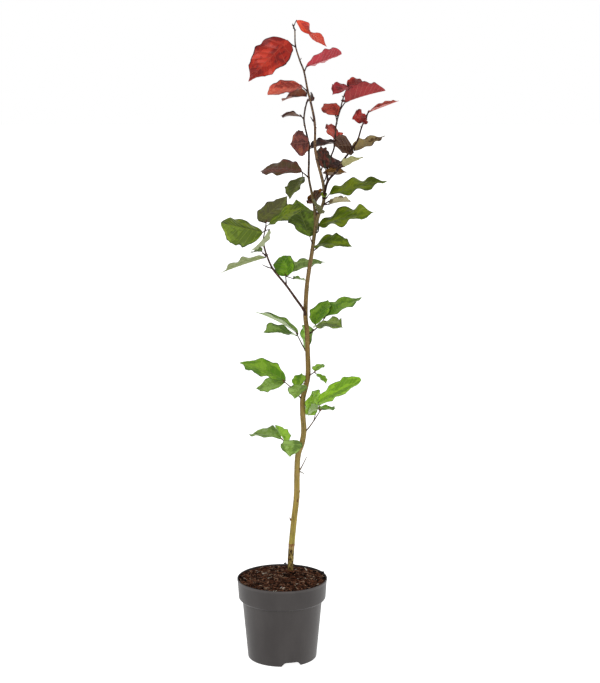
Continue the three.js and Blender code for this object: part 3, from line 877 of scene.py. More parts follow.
class Tint(Enum):
    """Leaf colours, reds, bronzes and then greens: face, patch, shade, edge and underside."""

    FLAME = LeafDress("leaf_red", "cf3820", "dc5232", "a82a22", "6e1a1c", "c84836")
    SCARLET = LeafDress("leaf_red", "aa2a1e", "c83c2a", "86201c", "4c1216", "a8323a")
    CRIMSON = LeafDress("leaf_red", "a32830", "bb3c42", "7c2024", "521418", "b22e3a")
    BRICK = LeafDress("leaf_red", "bc4638", "cc5a48", "8c342a", "461618", "a8443e")
    BLOOD = LeafDress("leaf_red", "8a1a12", "ac2c24", "6a1412", "401014", "9a2a2c")
    # brick lightened for a leaf that turns from the lamps: painted light
    CLAY = LeafDress("leaf_red", "de6450", "e67a62", "a84438", "461618", "a8443e")
    RUSSET = LeafDress("leaf_red", "8a4530", "9e6040", "5e2e22", "3a1a16", "8f5848")
    CORAL = LeafDress("leaf_red", "aa4438", "c66454", "883228", "7a2626", "a84a40")
    UMBER = LeafDress("leaf_bronze", "6c4008", "8a5410", "482604", "281a10", "6e4a20")
    STRAW = LeafDress("leaf_bronze", "94a468", "b4c088", "6c7c3e", "56662e", "9c966a")
    MAROON = LeafDress("leaf_bronze", "7e4038", "96583f", "5c302a", "2c1414", "7a4a42")
    BLACK = LeafDress("leaf_bronze", "40251d", "5e342a", "2b1a16", "1c1010", "5a3c2c")
    BRONZE = LeafDress("leaf_bronze", "674032", "7c4a38", "5e4828", "2e201c", "78604c")
    BROWN = LeafDress("leaf_bronze", "5e3a1a", "7a5228", "3e2412", "281a10", "6e4a20")
    OLIVE = LeafDress("leaf_bronze", "98865a", "a08c54", "604a28", "4a3a20", "a09468")
    MAROON_GREEN = LeafDress("leaf_bronze", "4c3a30", "6e3a30", "3a4034", "241414", "7a6a50")
    DRY = LeafDress("leaf_bronze", "b8ae88", "d0c8a8", "7c6c4c", "5a4c34", "a89f7c")
    FRESH = LeafDress("leaf_green", "8aba2c", "9cca40", "6c9a26", "466a1e", "92a86a")
    OLIVE_GREEN = LeafDress("leaf_green", "5a6428", "6a7632", "4c5428", "36341e", "8a9060")
    BRONZE_GREEN = LeafDress("leaf_green", "62662e", "6c7638", "5a5a34", "3c3026", "7a7c5c")
    DEEP = LeafDress("leaf_green", "667f2c", "789630", "506424", "2c3612", "7e875a")
    MOSS = LeafDress("leaf_green", "627814", "7c901e", "50640f", "2f4010", "8c9a66")
    GREEN = LeafDress("leaf_green", "76983c", "8cae52", "5a7a30", "3c5420", "98a878")
    LEAF = LeafDress("leaf_green", "78a622", "92be38", "609020", "3e5e16", "849a60")
    BRIGHT = LeafDress("leaf_green", "78aa1e", "8cbc34", "5e8c1c", "3a5a14", "9aac7a")
    LIME = LeafDress("leaf_green", "9acc34", "aede4c", "78a828", "587e1e", "b0c480")
    DULL = LeafDress("leaf_green", "849c44", "9ab05a", "627636", "3e4e28", "9aa480")
    SAGE = LeafDress("leaf_green", "8cb04a", "a2c468", "709040", "4c6430", "a4b088")
    MIST = LeafDress("leaf_green", "a9c76a", "b8d480", "8aa852", "5e7a36", "a4b088")
    DRY_GREEN = LeafDress("leaf_green", "74785a", "8a8c70", "585a40", "44462e", "62603f")
    PALE = LeafDress("leaf_green", "94a468", "b4c088", "6c7c3e", "56662e", "b4be94")


# ---- Tables of growth --------------------------------------------------------------------


@dataclass(frozen=True)
class Leaf:
    """One leaf, on a stalk from bud `at` of its shoot.

    Turn and rise aim it and roll tips it about its midrib, in degrees. Bow bends the midrib, fold and
    cup raise its sides and twist turns its tip, also in degrees. Wave ruffles its edge. A lower belly
    brings its widest place nearer the stalk, drip draws its tip out and a lower blunt fills its ends.
    A leaf whose width is 0 takes the usual share of its length.
    """

    at: int
    stalk: Vec
    long: float
    turn: float
    rise: float
    roll: float
    tint: Tint
    wide: float = 0.0
    bow: float = 20.0
    fold: float = 14.0
    cup: float = 0.0
    twist: float = 0.0
    wave: float = 1.0
    belly: float = 0.85
    drip: float = 1.0
    blunt: float = 1.0


@dataclass(frozen=True)
class Spray:
    """A short side shoot with its leaves, on its carrier at a height, or on the carrier's tip."""

    name: str
    carrier: str
    height: float | None
    steps: tuple[Vec, ...]
    leaves: tuple[Leaf, ...]


@dataclass(frozen=True)
class Stub:
    """A bare twig left on a limb at a height."""

    height: float
    steps: tuple[Vec, ...]


@dataclass(frozen=True)
class Limb:
    """The stem or a bough, given by its internodes from its foot or from a height on its carrier."""

    carrier: str | None
    start: Vec | float
    radius: float
    tip_radius: float
    steps: tuple[Vec, ...]
    fall: float = 1.0
    flare: float = 0.0
    flare_length: float = 14.0
    stubs: tuple[Stub, ...] = ()

    def radius_at(self, share: np.ndarray) -> np.ndarray:
        """Radius at a share of the way up: it falls with a power of that share."""
        return self.radius + (self.tip_radius - self.radius) * share**self.fall


LIMBS: dict[str, Limb] = {
    "trunk": Limb(
        None, (15, 34, 157), 5.9, 1.1,
        (
            (1, -2, 26), (2, -3, 31), (4.3, -4, 47), (4.9, -4, 46), (0.8, -4, 44), (1.8, -3, 38),
            (7.5, -1, 25), (3.5, -1, 24), (-2, -1, 33), (-0.1, -1, 28), (6, -1, 26), (4, -1, 23),
            (-1, -1, 46), (-1, -1, 36), (-3, -2, 30), (2, -2, 48), (4, 0, 33), (6, 2, 37), (5.9, 2, 43),
            (6, 1, 25), (9, 1, 24), (0.9, 0, 22), (-4.1, 0, 23), (-8.1, -2, 30), (-4.3, -2, 26),
            (0, -1, 32), (-2, -1, 22), (-6.2, -2, 29), (-5.3, -2, 21), (-6.7, -2, 34), (-7.6, -1, 20),
            (-7.6, -1, 26), (-1.2, -1, 26), (-2, -1, 7),
        ),
        fall=1.45,
        flare=-1.6,
        flare_length=12.0,
        stubs=(
            Stub(358, ((7, -3, 0), (6, -3, -3))),
            Stub(361, ((5, -3, 1), (13, -5, 27))),
            Stub(1018, ((-2, -1, 1), (-5, -3, 8))),
        ),
    ),
    "bough_left_low": Limb(
        "trunk", 660, 2.5, 1.6,
        ((-3, -12, 12), (-16, -10, 25), (-17, -10, 26), (-23, -12, 31), (-11, -8, 26), (-5, -6, 18)),
        stubs=(Stub(755, ((-10, -5, 4), (-9, -4, 5))),),
    ),
    "bough_left_leader": Limb(
        "trunk", 822, 2.6, 1.4,
        (
            (-2, 12, 36), (-5, 6, 28), (-5, 6, 26), (0, 3, 27), (0, 3, 23), (-2, 2, 20), (-5, 2, 22),
            (-2, 2, 14), (2, 1, 17), (3, 1, 13),
        ),
    ),
    "bough_right": Limb(
        "trunk", 877, 2.5, 1.3,
        ((7, -12, 32), (17, -10, 22), (9, -5, 17), (14, -7, 19), (13, -7, 21), (7, -5, 23), (8, -5, 21)),
    ),
    "bough_middle": Limb(
        "bough_right", 909, 1.8, 1.1,
        (
            (0, 24, 10), (1, 14, 17), (6, 6, 15), (6, 3, 18), (3, -2, 39), (7, 3, 26), (6, 3, 23),
            (7, 2, 17),
        ),
    ),
}

SPRAYS: tuple[Spray, ...] = (
    Spray("foot_left", "trunk", 390, ((-8, 0, 8), (-10, 2, 13), (-10, 3, 7)), (
        Leaf(3, (-3, 1, 2), 80, 139, -4, -8, Tint.SAGE, wide=55, bow=24, fold=16, belly=1.2),
        Leaf(2, (-4, 1, 3), 54, 116, 26, 18, Tint.LIME, wide=32, bow=10, fold=24),
        Leaf(2, (9, -4, 9), 42, -100, -34, 0, Tint.SAGE, wide=42),
    )),
    Spray("low_right", "trunk", 432, ((10, -5, 13), (10, -6, 16), (11, -6, 19)), (
        Leaf(2, (2, -2, 11), 64, 96, 31, -57, Tint.LIME, wide=54, bow=-14, fold=10, belly=1),
        Leaf(3, (-3, 2, 4), 44, -117, 0, 66, Tint.LEAF, wide=26, bow=30, fold=20),
        Leaf(
            3, (-3, 0, 16), 99, -23, 31, 36, Tint.LIME,
            wide=46, bow=12, fold=12, belly=1, drip=0.1, blunt=0.5,
        ),
        Leaf(3, (0, 0, 3), 50, 56, -4, 6, Tint.LEAF, wide=30, bow=-24, wave=1.6),
    )),
    Spray("low_left", "trunk", 496, ((-12, -10, 18), (-11, -8, 13), (-11, -5, 11)), (
        Leaf(3, (2, 2, 2), 97, 157, 15, -16, Tint.LEAF, wide=56, bow=22, fold=12, belly=0.92),
        Leaf(3, (0, 0, -2), 64, 150, -17, -42, Tint.SAGE, wide=35, bow=14, fold=10),
        Leaf(2, (13, -1, 0), 38, 76, 30, -6, Tint.LEAF, wide=27, bow=10, fold=12),
        Leaf(2, (20, -2, 4), 42, -108, -25, 6, Tint.SAGE, wide=38, fold=16),
    )),
    Spray("small_right", "trunk", 541, ((4, -4, 5), (9, -3, 7)), (
        Leaf(2, (1, 0, 2), 34, 62, 13, -5, Tint.LIME, wide=24, bow=6, fold=10),
        Leaf(2, (3, 0, -3), 34, -53, -24, -12, Tint.LEAF, wide=22, bow=14, fold=16),
    )),
    Spray("mid_left", "trunk", 585, ((-11, 6, 19), (-8, 3, 16)), (
        Leaf(2, (1, 0, 3), 96, 153, 20, 11, Tint.GREEN, wide=34, bow=16, fold=30),
        Leaf(2, (0, -2, -1), 84, -139, 12, -16, Tint.GREEN, bow=16, fold=20, belly=1.1),
    )),
    Spray("mid_right", "trunk", 622, ((9, 6, 5), (11, 3, 9), (11, 1, 14)), (
        Leaf(1, (3, 2, 4), 57, 118, -47, -83, Tint.FRESH, wide=50, bow=16, fold=16),
        Leaf(2, (-5, 1, 4), 66, 63, 35, -8, Tint.LEAF, wide=42, bow=14, fold=12),
        Leaf(3, (0, 0, 3), 90, 33, 19, 2, Tint.LEAF, wide=56, bow=12, fold=12, belly=1),
        Leaf(2, (-3, -4, 3), 78, -52, 6, 16, Tint.DULL, bow=24, fold=12, wave=1.6),
    )),
    Spray("left_spur", "bough_left_low", 722, ((0, 10, 4), (-1, 12, 9)), (
        Leaf(
            2, (5, 0, 1.5), 56, 106, 28, -30, Tint.BRIGHT,
            wide=40, bow=12, fold=16, belly=0.8, drip=0.3, blunt=0.5,
        ),
        Leaf(2, (10, 11, 5.5), 86, 42, 6, 5, Tint.MIST, wide=46, bow=14, fold=20),
        Leaf(2, (14, 6, -6), 40, 50, -14, 9, Tint.GREEN, wide=20, bow=10, fold=24, wave=1.6),
    )),
    Spray("left_tip", "bough_left_low", None, ((-1, -3, 15), (3, -2, 15), (2, -1, 14)), (
        Leaf(3, (-13, 10, 2), 72, 30, 35, 20, Tint.BRONZE_GREEN, wide=54, bow=-16, fold=-4, belly=0.8),
        Leaf(2, (3, -9, 10), 78, -8, 27, 22, Tint.MOSS, wide=52, bow=16, fold=8, belly=1.5),
        Leaf(
            2, (-4, -1, -3), 82, -160, 15, -56, Tint.MOSS,
            wide=66, bow=-4, fold=-34, belly=0.95, drip=0, blunt=0.85,
        ),
        Leaf(2, (8, 1, 2), 66, -123, -27, -154, Tint.PALE, wide=19, fold=50, wave=1.8),
    )),
    Spray("left_side", "bough_left_low", 781, ((-4, 3, 1),), (
        Leaf(1, (-5, -2, 6), 36, 122, -12, -20, Tint.DEEP, bow=16, fold=20),
        Leaf(1, (2, -1, -5), 92, 162, -21, 17, Tint.DEEP, wide=32, bow=4, fold=30, wave=2),
    )),
    Spray("trunk_right", "trunk", 779, ((6, -2, 4),), (
        Leaf(1, (4, -1, 10), 80, -38, 3, 26, Tint.MOSS, bow=26, wave=1.2, belly=0.55, drip=1.3, blunt=0.9),
    )),
    Spray("trunk_left", "trunk", 792, ((-3, -6, 7),), (
        Leaf(1, (-3, -3, 9), 88, 113, 43, 7, Tint.DEEP, wide=66, bow=-10, fold=4, belly=0.95),
    )),
    Spray("spur_right", "trunk", 812, ((6, -2, 4), (2, -3, 9)), (
        Leaf(2, (0, 0, 4), 113, -18, 15, 26, Tint.MOSS, wide=56, bow=14, fold=8, wave=2.4),
    )),
    Spray("fork_right", "trunk", 874, ((4, -5, 3),), (
        Leaf(1, (6, -2, 8), 112, 14, 11, 18, Tint.MOSS, wide=48, bow=12, fold=8, wave=2.4),
    )),
    Spray("dry", "trunk", 864, ((5, -6, 2),), (
        Leaf(1, (6, -4, 1), 54, -37, 10, 0, Tint.DRY, wide=26, fold=36, twist=70, wave=2.4),
    )),
    Spray("fork", "trunk", 842, ((-3, 9, 6), (0, 5, 9)), (
        Leaf(2, (0, 0, 11), 46, 96, 20, -40, Tint.UMBER, wide=38, bow=-20),
    )),
    Spray("fork_front", "trunk", 848, ((-2, -6, 2),), (
        Leaf(1, (0, -8, 3.5), 48, -96, 32, -47, Tint.DRY_GREEN, wide=32, bow=10, fold=12),
    )),
    Spray("leader_foot", "bough_left_leader", 862, ((-1, -5, 3),), (
        Leaf(1, (0, -2, 2), 26, -106, 6, -13, Tint.MAROON, wide=18, bow=14, fold=20),
    )),
    Spray("leader_low", "bough_left_leader", 911, ((-7, -1, 7), (-5, -1, 4)), (
        Leaf(2, (-1, -1, 1), 98, 142, -4, -24, Tint.BRONZE, wide=54, bow=32, fold=6, belly=1),
        Leaf(2, (0, -2, -8), 62, -117, -34, 15, Tint.OLIVE_GREEN, wide=40, fold=12),
    )),
    Spray("leader_mid", "bough_left_leader", 957, ((2, 2, 8),), (
        Leaf(1, (-1, 1, 11), 46, -140, 0, -78, Tint.MAROON, wide=47, bow=10, fold=4, belly=1),
        Leaf(1, (3, 4, 0), 72, 39, 3, 5, Tint.BLACK, bow=14, fold=20),
    )),
    Spray("leader_high", "bough_left_leader", 1018, ((-4, 2, 4),), (
        Leaf(1, (-2, 1, 1), 56, 131, -4, -2, Tint.BLACK, wide=24, bow=4, fold=20, twist=70),
    )),
    Spray("leader_tip", "bough_left_leader", None, ((2, 1, 3),), (
        Leaf(1, (5, 3, 0), 26, 85, 31, 63, Tint.BLACK, bow=10, fold=20),
    )),
    Spray("crown_neck", "trunk", 1064, ((-4, -1, 9), (-8, -2, 8)), (
        # this leaf wears brick lightened by painted light
        Leaf(
            2, (-3, -2, 3), 78, -140, -9, -24, Tint.CLAY,
            wide=42, bow=8, fold=18, wave=0.7, belly=0.9, drip=0, blunt=0.75,
        ),
        Leaf(1, (-1, 2, -9), 66, 134, -12, -25, Tint.RUSSET, wide=38, bow=22, fold=26),
    )),
    Spray("crown_top", "trunk", 1186, ((-1, -1, 3),), (
        Leaf(1, (5, 1, 11), 84, 36, -36, 24, Tint.FLAME, wide=25, bow=6, fold=12, twist=140, belly=0.9),
    )),
    Spray("crown_left", "trunk", 1153, ((-6, -2, 3),), (
        Leaf(1, (-9, -4, 9), 106, -150, -41, -36, Tint.SCARLET, wide=68, bow=8, fold=8, belly=0.68),
    )),
    Spray("crown_right", "trunk", 1108, ((3, 0, 6),), (
        Leaf(
            1, (1, 0, 4), 90, 43, 11, -52, Tint.CRIMSON,
            wide=40, bow=-6, fold=30, belly=1.3, drip=0, blunt=0.5,
        ),
    )),
    Spray("centre", "trunk", 904, ((5, -4, 10), (1, -3, 12)), (
        Leaf(2, (-2, 1, 6), 46, 110, 60, 6, Tint.MAROON_GREEN, wide=32, bow=-12),
        Leaf(2, (1, 0, 9), 44, 50, 6, 34, Tint.BLACK, wide=34, bow=14, fold=16),
        Leaf(2, (-6, -1, -1), 46, 18, -2, -42, Tint.BROWN, wide=25, bow=12, fold=10),
    )),
    Spray("right_low", "bough_right", 936, ((4, 0, 1),), (
        Leaf(1, (6, 0, 1), 58, -52, 23, -7, Tint.STRAW, bow=10, fold=20),
    )),
    Spray("right_mid", "bough_right", 973, ((4, -2, 4),), (
        Leaf(1, (0, 0, -8), 80, 42, 15, 12, Tint.OLIVE, wide=36, bow=6, fold=20, wave=1.6, belly=0.6),
    )),
    Spray("right_inner", "bough_right", 973, ((-2, 3, 4),), (
        Leaf(1, (1, -1, 1), 50, 126, -7, 63, Tint.BLACK, wide=42, fold=20, cup=30, blunt=0.6),
    )),
    Spray("right_tip", "bough_right", None, ((3, -2, 6),), (
        Leaf(1, (3, -1, 3), 76, -46, 19, 24, Tint.CORAL, wide=22, bow=0, fold=30, belly=0.7),
        Leaf(1, (-2, 2, -9), 42, -130, 2, -56, Tint.BLOOD, wide=32, bow=14, fold=24, wave=2.2, belly=1.1),
    )),
    Spray("middle_low", "bough_middle", 968, ((-1, -2, 8),), (
        Leaf(1, (3, 0, 2), 57, 97, 27, 31, Tint.BRICK, wide=40, bow=-10, fold=10, wave=1.8, drip=0.4),
    )),
    Spray("middle_mid", "bough_middle", 1014, ((-2, -2, 8),), (
        Leaf(1, (3, 0, 3), 42, 132, 26, -20, Tint.BRICK, wide=36, bow=12, fold=6, wave=0.6, belly=1),
    )),
    Spray("middle_high", "bough_middle", 1036, ((5, 1, 7),), (
        Leaf(
            1, (4, -16, 7), 88, 31, 11, -46, Tint.BLOOD,
            wide=54, bow=10, fold=46, belly=0.62, drip=0.3, blunt=0.62,
        ),
    )),
    Spray("middle_tip", "bough_middle", None, ((1, 1, 5),), (
        Leaf(1, (-1, 3, -1), 58, 42, -10, 22, Tint.SCARLET, wide=34, bow=62, wave=0.8),
        Leaf(1, (2, -1, -3), 60, -121, -9, -16, Tint.CRIMSON, bow=24, fold=20),
    )),
    # scraps of leaf on stubs of their own, beside the side shoots of the same names
    Spray("fork_right", "trunk", 876, ((3, -4, 2),), (
        Leaf(1, (-2, -2, 1), 14, 100, 55, 0, Tint.MOSS, wide=12, bow=10),
    )),
    Spray("dry", "trunk", 866, ((6, -5, 3),), (
        Leaf(1, (2, -1, 1), 13, -10, 14, 0, Tint.BLACK, wide=8, bow=30, fold=30, wave=2),
    )),
    Spray("centre", "trunk", 925, ((3, -2, 8), (2, 1, 12)), (
        Leaf(2, (0, 1, 12), 18, 60, 48, 20, Tint.BLACK, wide=8, bow=40, fold=20, wave=2.2),
    )),
)


# ---- Wood --------------------------------------------------------------------------------


def limb_points(name: str) -> np.ndarray:
    """The internode points of a limb: its foot and the running sum of its steps.

    Args:
        name: Name of the limb.

    Returns:
        Points in millimetres, from its foot to its tip.
    """
    limb = LIMBS[name]
    start = np.array(limb.start, float) if limb.carrier is None else point_at(limb.carrier, limb.start)
    return climb(start, limb.steps)


def point_at(name: str, height: float) -> np.ndarray:
    """The point on a limb's axis at a height above the ground."""
    points = limb_points(name)
    return np.array([np.interp(height, points[:, 2], points[:, i]) for i in range(3)])


def spray_points(spray: Spray) -> np.ndarray:
    """The internode points of a side shoot, from its carrier's axis or tip."""
    start = limb_points(spray.carrier)[-1] if spray.height is None else point_at(spray.carrier, spray.height)
    return climb(start, spray.steps)


@dataclass(frozen=True)
class Mark:
    """A bud or a knot on the stem: height, place from the axis, direction, length and greatest radius."""

    height: float
    out: Vec
    aim: Vec
    long: float
    wide: float


@dataclass(frozen=True)
class BudSize:
    """The buds of one place: length, how much longer the longest is, radius, and number of the throw."""

    long: float
    spread: float
    wide: float
    roll: float = 0.0


# the first number of the throws for each kind of wood, and how far past a limb's own its stubs start
STEM_THROWS = 1
LEADER_THROWS = 21
BOUGH_THROWS = 22
TWIG_THROWS = 50
STUB_THROWS = 10

SHOOT_TIP_BUD = BudSize(6.5, 0.0, 0.85)
LEAF_BUD = BudSize(3.6, 1.6, 0.7, roll=8)
LIMB_TIP_BUD = BudSize(7.5, 0.0, 0.95)
NODE_BUD = BudSize(3.2, 1.4, 0.65, roll=9)

STEM_MARKS = (
    Mark(259, (-5.4, -1.5, 0.0), (-0.35, -0.1, 1.0), 9.0, 1.3),
    Mark(298, (2.4, -5.0, 0.0), (0.12, -0.1, 1.0), 8.0, 1.4),
    Mark(316, (5.0, -1.0, 0.0), (0.35, 0.0, 1.0), 5.0, 0.9),
)


@dataclass
class Wood:
    """Everything woody: a round skin along each internode path, with rings at the nodes and corky dots."""

    stem_around: int = 32
    bough_around: int = 20
    twig_around: int = 12
    stalk_around: int = 8
    stem_rings: int = 20
    bough_rings: int = 14
    twig_rings: int = 7
    stalk_rings: int = 6
    twig_radius: float = 1.3
    twig_tip: float = 0.9
    stalk_radius: float = 0.85
    stub_taper: float = 0.7
    stalk_taper: tuple[float, float, float] = (1.0, 0.85, 0.45)
    stalk_swell: Pair = (0.5, 2.0)
    neck_places: tuple[float, float, float] = (0.012, 0.05, 0.10)
    neck_depths: tuple[float, float, float] = (0.5, 0.5, 0.4)
    twig_flare: Pair = (0.6, 3.0)
    bough_flare: Pair = (0.5, 4.0)
    node_ring: float = 0.16
    node_length: float = 2.2
    slender: float = 1.6
    dot_spacing: float = 5.0
    dot_height: float = 0.09
    dot_long: Pair = (0.7, 0.9)
    dot_wide: Pair = (0.35, 0.3)
    graft_height: float = 211.5
    graft_length: float = 3.0
    graft_reach: float = 1.6
    graft_sunk: float = 0.3
    graft_ring: float = 0.07
    graft_rings: int = 25
    graft_grain: Pair = (3.0, 0.9)
    graft_even: float = 0.4
    foot_sunk: float = 3.0
    first_stem_bud: int = 8
    first_bough_bud: int = 2
    bud_scale: float = 0.16
    bud_scales: int = 5
    bud_span: Pair = (0.02, 0.99)
    bud_rings: int = 19
    bud_around: int = 10
    bud_point: float = 0.05
    tip_bud_seat: float = 0.4
    tip_bud_lift: float = 0.15
    leaf_bud_aim: tuple[float, float, float] = (1.1, 0.5, 0.3)
    leaf_bud_seat: float = 0.6
    node_bud_rise: float = 0.9
    node_bud_seat: float = 0.7
    node_bud_lift: float = 0.6
    stem_bark: BarkFinish = BarkFinish(
        stops=(
            RampStop(0.050, "a99a44"), RampStop(0.076, "a39242"), RampStop(0.098, "937f34"),
            RampStop(0.180, "937d3a"), RampStop(0.260, "857237"), RampStop(0.400, "785f2a"),
            RampStop(0.500, "765c2c"), RampStop(0.600, "745c36"), RampStop(0.660, "776740"),
            RampStop(0.720, "64543a"), RampStop(0.760, "6a5038"), RampStop(0.840, "442820"),
            RampStop(0.900, "351e18"), RampStop(1.000, "1e0f0d"),
        ),
        dot="947850",
        low=0.155,
        high=1.195,
        rootstock=RootstockFinish(),
    )
    shoot_bark: BarkFinish = BarkFinish(
        stops=(
            RampStop(0.00, "5a4824"), RampStop(0.30, "40261b"), RampStop(0.60, "2c1812"),
            RampStop(1.00, "2a1210"),
        ),
        dot="7c6450",
        low=0.35,
        high=1.19,
        specular=0.15,
        relief=0.25,
    )
    leader_bark: BarkFinish = BarkFinish(
        stops=(
            RampStop(0.00, "7c6c46"), RampStop(0.22, "74623f"), RampStop(0.38, "48362a"),
            RampStop(0.60, "33201a"), RampStop(1.00, "2a1511"),
        ),
        dot="8c7458",
        low=0.82,
        high=1.07,
        specular=0.15,
        relief=0.25,
    )
    bud_bark: BarkFinish = BarkFinish(
        stops=(RampStop(0.00, "6e4428"), RampStop(0.60, "5a3020"), RampStop(1.00, "47211c")),
        dot="a07a54",
        low=0.30,
        high=1.19,
        relief=0.2,
    )

    def skin(
        self, skin: Skin, points: np.ndarray, radius: float, tip: float, rings: int, around: int, key: int,
        flare: float = 0.0, flare_length: float = 14.0, dots: bool = True, fall: float = 1.0,
    ) -> np.ndarray:
        """Adds one stem.

        Its radius falls with its length, swells at each node and at the foot, and rises at each dot.

        Args:
            skin: Piece that takes the surface.
            points: Internode points.
            radius: Radius at the foot.
            tip: Radius at the tip.
            rings: Rings between one node and the next.
            around: Corners of a ring.
            key: Number for the throws.
            flare: Extra radius at the foot.
            flare_length: Length over which the flare dies away.
            dots: Whether the bark has corky dots.
            fall: Power of the length that the radius falls with.

        Returns:
            Centres of the rings.
        """
        path = curve_through(points, rings)
        reach = travelled(path)
        nodes = reach[::rings][1:-1]
        radii = radius + (tip - radius) * (reach / reach[-1]) ** fall + flare * np.exp(-reach / flare_length)
        ring = np.exp(-(((reach[:, None] - nodes) / self.node_length) ** 2)).sum(axis=1) if len(nodes) else 0
        radii = radii * (1 + self.node_ring * np.minimum(ring, 1) * min(1.0, self.slender / radius))
        turn = np.linspace(0, 2 * np.pi, around, endpoint=False)
        marks = np.zeros((len(path), around))
        if dots:
            number = int(reach[-1] * 2 * np.pi * radius / self.dot_spacing**2)
            i = np.arange(number)
            along, about = reach[-1] * dice(i, key), 2 * np.pi * dice(i, key + 0.37)
            long = self.dot_long[0] + self.dot_long[1] * dice(i, key + 0.71)
            wide = self.dot_wide[0] + self.dot_wide[1] * dice(i, key + 0.93)
            apart = (turn[None, :, None] - about + np.pi) % (2 * np.pi) - np.pi
            away = (apart * radii[:, None, None] / long) ** 2 + ((reach[:, None, None] - along) / wide) ** 2
            marks = np.exp(-away).max(axis=2)
        grown = radii[:, None] + self.dot_height * marks
        corners, faces = tube(path, grown, around)
        skin.add(corners, faces, marks=np.r_[marks.ravel(), 0, 0])
        return path

    def graft(self, skin: Skin) -> None:
        """Adds the healed scar low on the stem: a rough collar, radius = stem + ring exp(-(d / length)^2).

        Args:
            skin: Piece that takes the collar.
        """
        points = limb_points("trunk")
        away = np.linspace(-self.graft_reach, self.graft_reach, self.graft_rings)
        heights = self.graft_height + self.graft_length * away
        path = np.array([point_at("trunk", height) for height in heights])
        bell = np.exp(-(((heights - self.graft_height) / self.graft_length) ** 2))
        turn = np.linspace(0, 2 * np.pi, self.stem_around, endpoint=False)
        about, along = self.graft_grain
        rough = drift(turn[None, :] * about, heights[:, None] * along, 4.0)
        trunk = LIMBS["trunk"]
        share = (heights - points[0, 2]) / (points[-1, 2] - points[0, 2])
        radii = trunk.radius_at(share)
        collar = self.graft_sunk + radii[:, None] * self.graft_ring * (self.graft_even + rough)
        grown = radii[:, None] - self.graft_sunk + collar * bell[:, None]
        corners, faces = tube(path, grown, self.stem_around)
        skin.add(corners, faces)

    def stem(self) -> bpy.types.Object:
        """The stem with its graft. Its stubs have the darker bark of the boughs, and are made with them.

        Returns:
            The piece.
        """
        trunk = LIMBS["trunk"]
        skin = Skin()
        points = np.vstack([np.array(trunk.start) - self.foot_sunk * UP, limb_points("trunk")])
        self.skin(
            skin, points, trunk.radius, trunk.tip_radius, self.stem_rings, self.stem_around, STEM_THROWS,
            trunk.flare, trunk.flare_length, fall=trunk.fall,
        )
        self.graft(skin)
        piece = skin.build("stem", [self.stem_bark.material("stem_bark")], mark="corky_dots")
        return dress(piece, "stem_bark", "trunk")

    def stubs(self, skin: Skin, name: str, key: int) -> None:
        """Adds the bare twigs of one limb, each a short tapering shoot.

        Args:
            skin: Piece that takes them.
            name: Name of the limb.
            key: Number for the throws of the first one.
        """
        for i, stub in enumerate(LIMBS[name].stubs):
            points = climb(point_at(name, stub.height), stub.steps)
            self.skin(
                skin, points, self.twig_radius, self.twig_tip * self.stub_taper, self.twig_rings,
                self.twig_around, key + i, dots=False,
            )

    def boughs(
        self, title: str, bark: BarkFinish, names: tuple[str, ...], key: int, bare: tuple[str, ...] = ()
    ) -> bpy.types.Object:
        """Boughs of one bark, with their stubs.

        Args:
            title: Name of the piece.
            bark: Finish of the piece.
            names: Boughs in it.
            key: Number for the throws.
            bare: Limbs that only lend this bark to their stubs.

        Returns:
            The piece.
        """
        skin = Skin()
        for name in names:
            limb = LIMBS[name]
            self.skin(
                skin, limb_points(name), limb.radius, limb.tip_radius, self.bough_rings, self.bough_around,
                key, self.bough_flare[0] * limb.radius, self.bough_flare[1],
            )
            self.stubs(skin, name, key + STUB_THROWS)
            key += 1
        for name in bare:
            self.stubs(skin, name, STEM_THROWS + STUB_THROWS)
        piece = skin.build(title, [bark.material(f"{title}_bark")], mark="corky_dots")
        return dress(piece, "shoot_bark", *names)

    def twigs(self) -> bpy.types.Object:
        """The side shoots, and the stalk of every leaf from its bud to the back of its blade.

        Returns:
            The piece.
        """
        skin = Skin()
        key = 0
        for spray in SPRAYS:
            points = spray_points(spray)
            self.skin(
                skin, points, self.twig_radius, self.twig_tip, self.twig_rings, self.twig_around,
                TWIG_THROWS + key, *self.twig_flare,
            )
            for leaf in spray.leaves:
                blade = Blade(leaf, points[leaf.at] + np.array(leaf.stalk, float), key)
                places = np.array(self.neck_places)
                facing, _ = blade.directions(places)
                sunk = blade.midrib(places) - facing * np.array(self.neck_depths)[:, None]
                path = curve_through(np.vstack([points[leaf.at], blade.base, sunk]), self.stalk_rings)
                swell = np.exp(-travelled(path) / self.stalk_swell[1]) * self.stalk_swell[0]
                taper = np.interp(np.linspace(0, 1, len(path)), (0, 0.5, 1), self.stalk_taper)
                radii = self.stalk_radius * taper + swell
                skin.add(*tube(path, radii, self.stalk_around))
                key += 1
        piece = skin.build("side_shoots", [self.shoot_bark.material("side_shoot_bark")], mark="corky_dots")
        return dress(piece, "shoot_bark")

    def bud(self, skin: Skin, foot: np.ndarray, aim: np.ndarray, long: float, wide: float) -> None:
        """Adds a slender bud: radius = wide sin(pi s^0.6)^0.8, lifted at the edge of each overlapping scale.

        Args:
            skin: Piece that takes the bud.
            foot: Point that it stands on.
            aim: Direction that it points in.
            long: Length.
            wide: Greatest radius.
        """
        s = np.linspace(*self.bud_span, self.bud_rings)
        path = foot + unit(aim) * (s * long)[:, None]
        turn = np.linspace(0, 2 * np.pi, self.bud_around, endpoint=False)
        spindle = wide * np.sin(np.pi * s**0.6) ** 0.8 + self.bud_point
        scale = (s[:, None] * self.bud_scales + turn[None, :] / np.pi) % 1
        corners, faces = tube(path, spindle[:, None] * (1 + self.bud_scale * scale), len(turn))
        skin.add(corners, faces)

